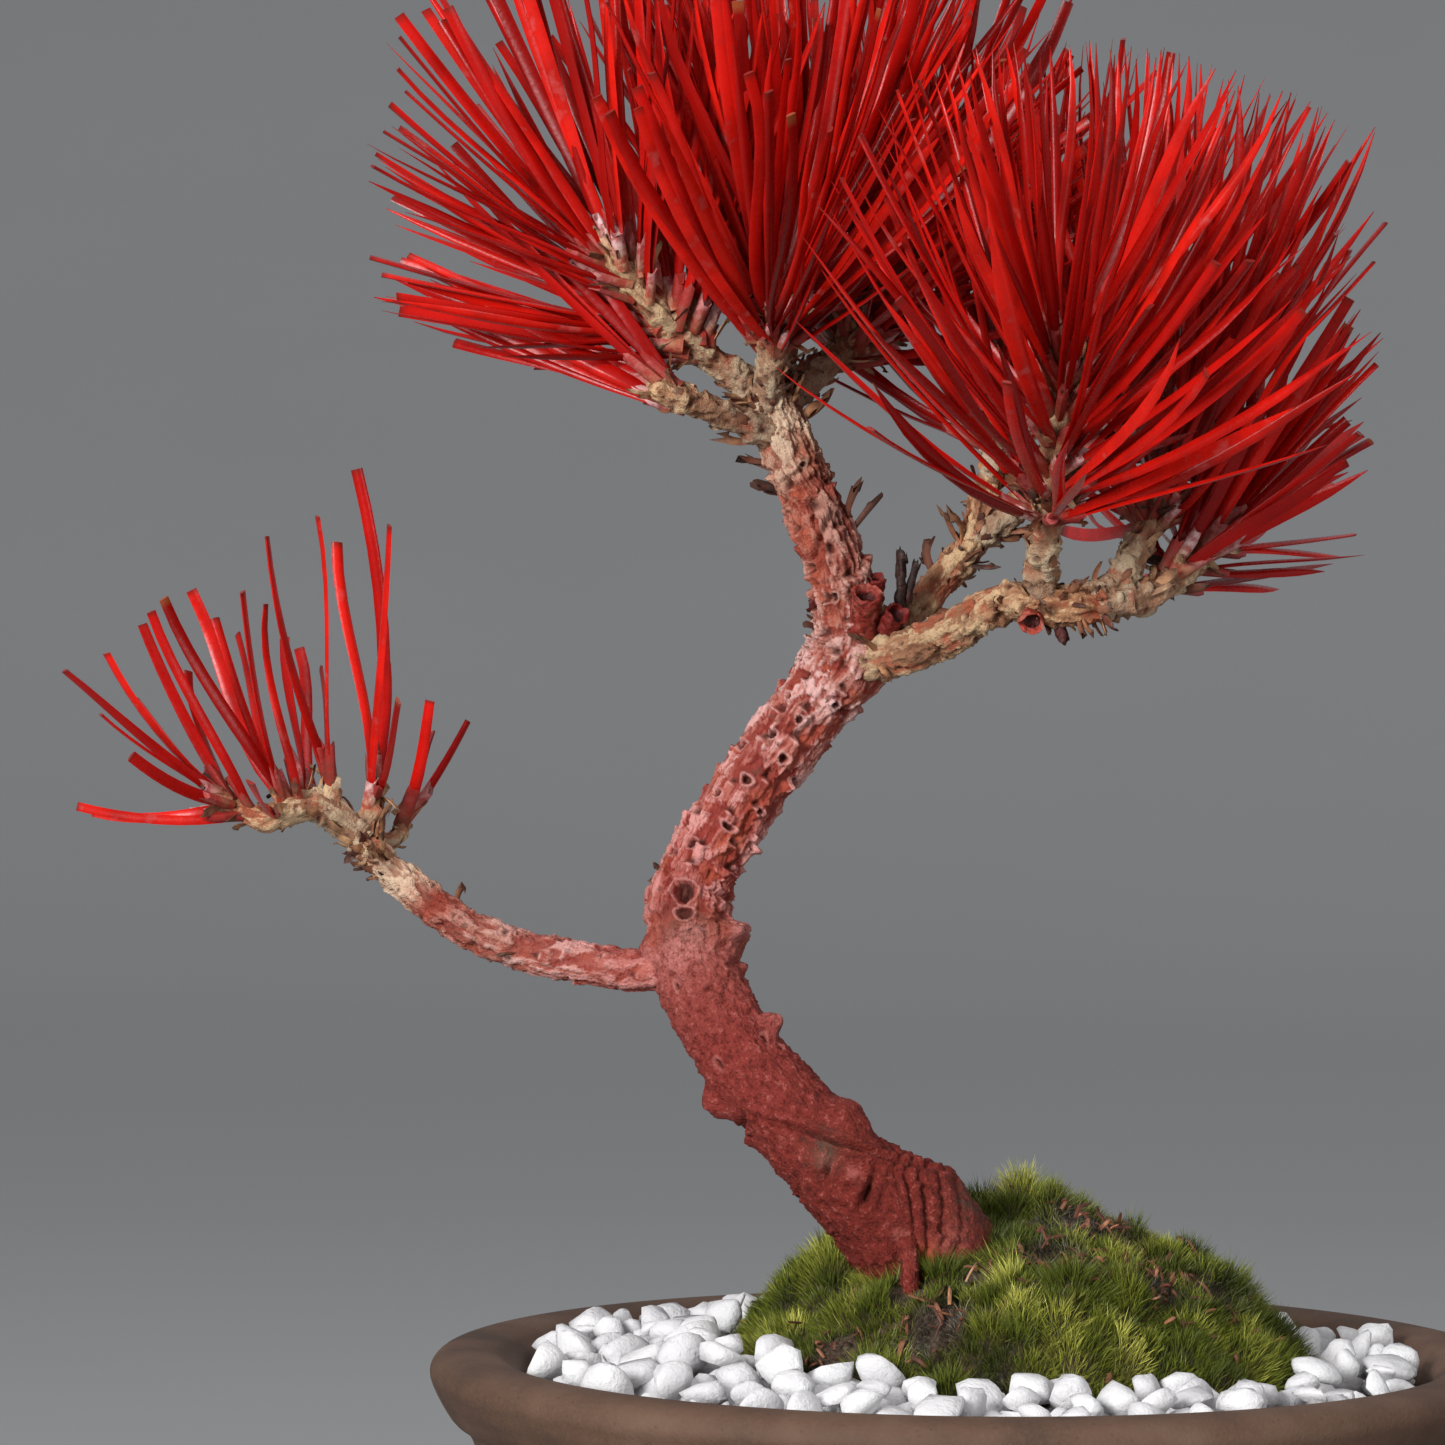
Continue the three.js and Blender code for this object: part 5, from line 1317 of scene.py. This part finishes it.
def buildGravel():
    random = np.random.default_rng(21)
    forms = pebbleForms(random)
    parts = []
    for height, spacing, tries in gravel["layers"]:
        layer = np.empty((0, 2))
        for _ in range(tries):
            reach = math.sqrt(random.uniform(gravel["inner"] ** 2, gravel["outer"] ** 2))
            angle = random.uniform(0, 2 * math.pi)
            x, y = reach * math.cos(angle), reach * math.sin(angle)
            fromMoss = math.hypot(x - moss["x"], y - moss["y"])
            if fromMoss < mossEdge(math.atan2(y - moss["y"], x - moss["x"])) + gravel["gap"]:
                continue
            if len(layer) and np.min(np.hypot(*(layer - (x, y)).T)) < spacing:
                continue
            layer = np.vstack([layer, (x, y)])
            corners, faces = forms[random.integers(len(forms))]
            turn = Matrix.Rotation(random.uniform(0, 6.3), 3, "Z")
            turn = turn @ Matrix.Rotation(random.uniform(-0.7, 0.7), 3, "X")
            heap = (gravel["outer"] - reach) * gravel["heap"] * stepBetween(*gravel["heapFrom"], x)
            middle = (x, y, height + heap + random.uniform(-0.4, 0.7))
            placed = corners @ np.array(turn).T * random.uniform(*gravel["size"]) + middle
            parts.append((placed[None], faces, {"tone": random.random()}))
    placeCopies("whiteGravel", parts, stoneMaterial(), ["gravel"])
    print(len(parts), "stones")


# Soil and drain screen keep their solids and get their finish

solids = {
    "soil": [(0.35, (0.02, 0.013, 0.009)), (0.5, (0.05, 0.03, 0.02)), (0.7, (0.11, 0.07, 0.045))],
    "screen": [(0.3, (0.012, 0.014, 0.013)), (0.7, (0.03, 0.034, 0.031))],
}


def soilMaterial():
    material, tree, place = newMaterial("pottingSoil")
    cloud = mottleOn(tree, place, 3)[1]
    grain = mottleOn(tree, place, 0.9, coarseness=0.7)[1]
    colour = rampOn(tree, cloud, solids["soil"])
    return finish(material, colour, cloud, (0.8, 0.98), bumpOn(tree, grain, 1.0), 0.2)


def screenMaterial():
    material, tree, place = newMaterial("screenPlastic")
    grain = mottleOn(tree, place, 0.8)[1]
    colour = rampOn(tree, grain, solids["screen"])
    return finish(material, colour, grain, (0.4, 0.6), bumpOn(tree, grain, 0.05))


def dressSolids():
    for node, material in (("soil", soilMaterial()), ("drain_screen", screenMaterial())):
        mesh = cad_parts[node].data
        mesh.materials.clear()
        mesh.materials.append(material)


# Studio: a wide pale dish under an even sky, with soft lamps, the strongest from the upper left

studio = {
    "flatRadius": 1300, "bend": 2000, "slope": 28, "outerRadius": 5200, "steps": 96,
    # the second tone is painted shade for the floor near the middle, evening out the lamps' pool of light
    "tone": (0.39, 0.392, 0.396), "nearShadeTone": (0.3, 0.301, 0.304),
    "worldColour": (0.95, 0.97, 1.0), "world": 0.5,
    "camera": {"x": -30.54, "y": -650, "z": 128.94, "focal": 135.27, "pitch": 0.54, "roll": 0.34},
    # name, place, target, size, spread in degrees, watts
    "lights": [
        ("keyLight", (-600, -860, 400), (-10, 0, 130), 420, 90, 3.7),
        ("topLight", (-60, -250, 1150), (0, 0, 60), 500, 90, 0.6),
        ("fillLight", (750, -900, 250), (0, 0, 120), 500, 90, 0.8),
    ],
}


def floorMaterial():
    material, tree, place = newMaterial("paleFloor")
    cloud = mottleOn(tree, place, 300)[1]
    light = tuple(value * 1.04 for value in studio["tone"])
    colour = rampOn(tree, cloud, [(0.3, studio["tone"]), (0.7, light)])
    # the floor near the middle is darker: painted shade against the lamps' pool of light there
    distance = nodeOn(tree, "VectorMath", {0: place}, operation="LENGTH").outputs["Value"]
    near = levelsOn(tree, distance, studio["flatRadius"] * 1.6 * mm, studio["flatRadius"] * 0.5 * mm)
    colour = mixOn(tree, near, colour, studio["nearShadeTone"])
    return finish(material, colour, cloud, (0.85, 0.95), specular=0.1)


def buildStudio():
    flat, bend, outer = studio["flatRadius"], studio["bend"], studio["outerRadius"]
    slope = math.radians(studio["slope"])
    outline = [(flat + bend * math.sin(a), bend * (1 - math.cos(a))) for a in np.linspace(0, slope, 12)]
    radius, height = outline[-1]
    outline = [(0, 0), *outline, (outer, height + (outer - radius) * math.tan(slope))]
    mesh = meshOf("floor", spunShape(outline, studio["steps"], False))
    mesh.shade_smooth()
    mesh.materials.append(floorMaterial())
    floor = addObject("floor", mesh)

    world = bpy.data.worlds.new("studio")
    world.use_nodes = True
    background = world.node_tree.nodes["Background"]
    background.inputs["Color"].default_value = (*studio["worldColour"], 1)
    background.inputs["Strength"].default_value = studio["world"]
    bpy.context.scene.world = world
    for name, place, target, size, spread, watts in studio["lights"]:
        lamp = bpy.data.lights.new(name, "AREA")
        lamp.shape = "DISK"
        lamp.size = size * mm
        lamp.spread = math.radians(spread)
        lamp.energy = watts
        light = addObject(name, lamp)
        light.location = toFrame @ Vector(place)
        light.rotation_mode = "QUATERNION"
        light.rotation_quaternion = (Vector(target) - Vector(place)).to_track_quat("-Z", "Y")
    bpy.context.scene.view_settings.view_transform = "Standard"


def buildCamera():
    eye = studio["camera"]
    camera = addObject("camera", bpy.data.cameras.new("camera"))
    camera.data.sensor_width = 36
    camera.data.lens = eye["focal"]
    camera.data.clip_start = 0.01
    camera.location = toFrame @ Vector((eye["x"], eye["y"], eye["z"]))
    turn = Matrix.Rotation(math.radians(90 - eye["pitch"]), 4, "X")
    turn = turn @ Matrix.Rotation(math.radians(eye["roll"]), 4, "Z")
    camera.rotation_euler = turn.to_euler()
    bpy.context.scene.camera = camera


buildCamera()
buildPot()
buildStems()
buildStubs()
buildSprays()
buildMossBed()
buildMossHairs()
buildLitter()
buildGravel()
dressSolids()
buildStudio()
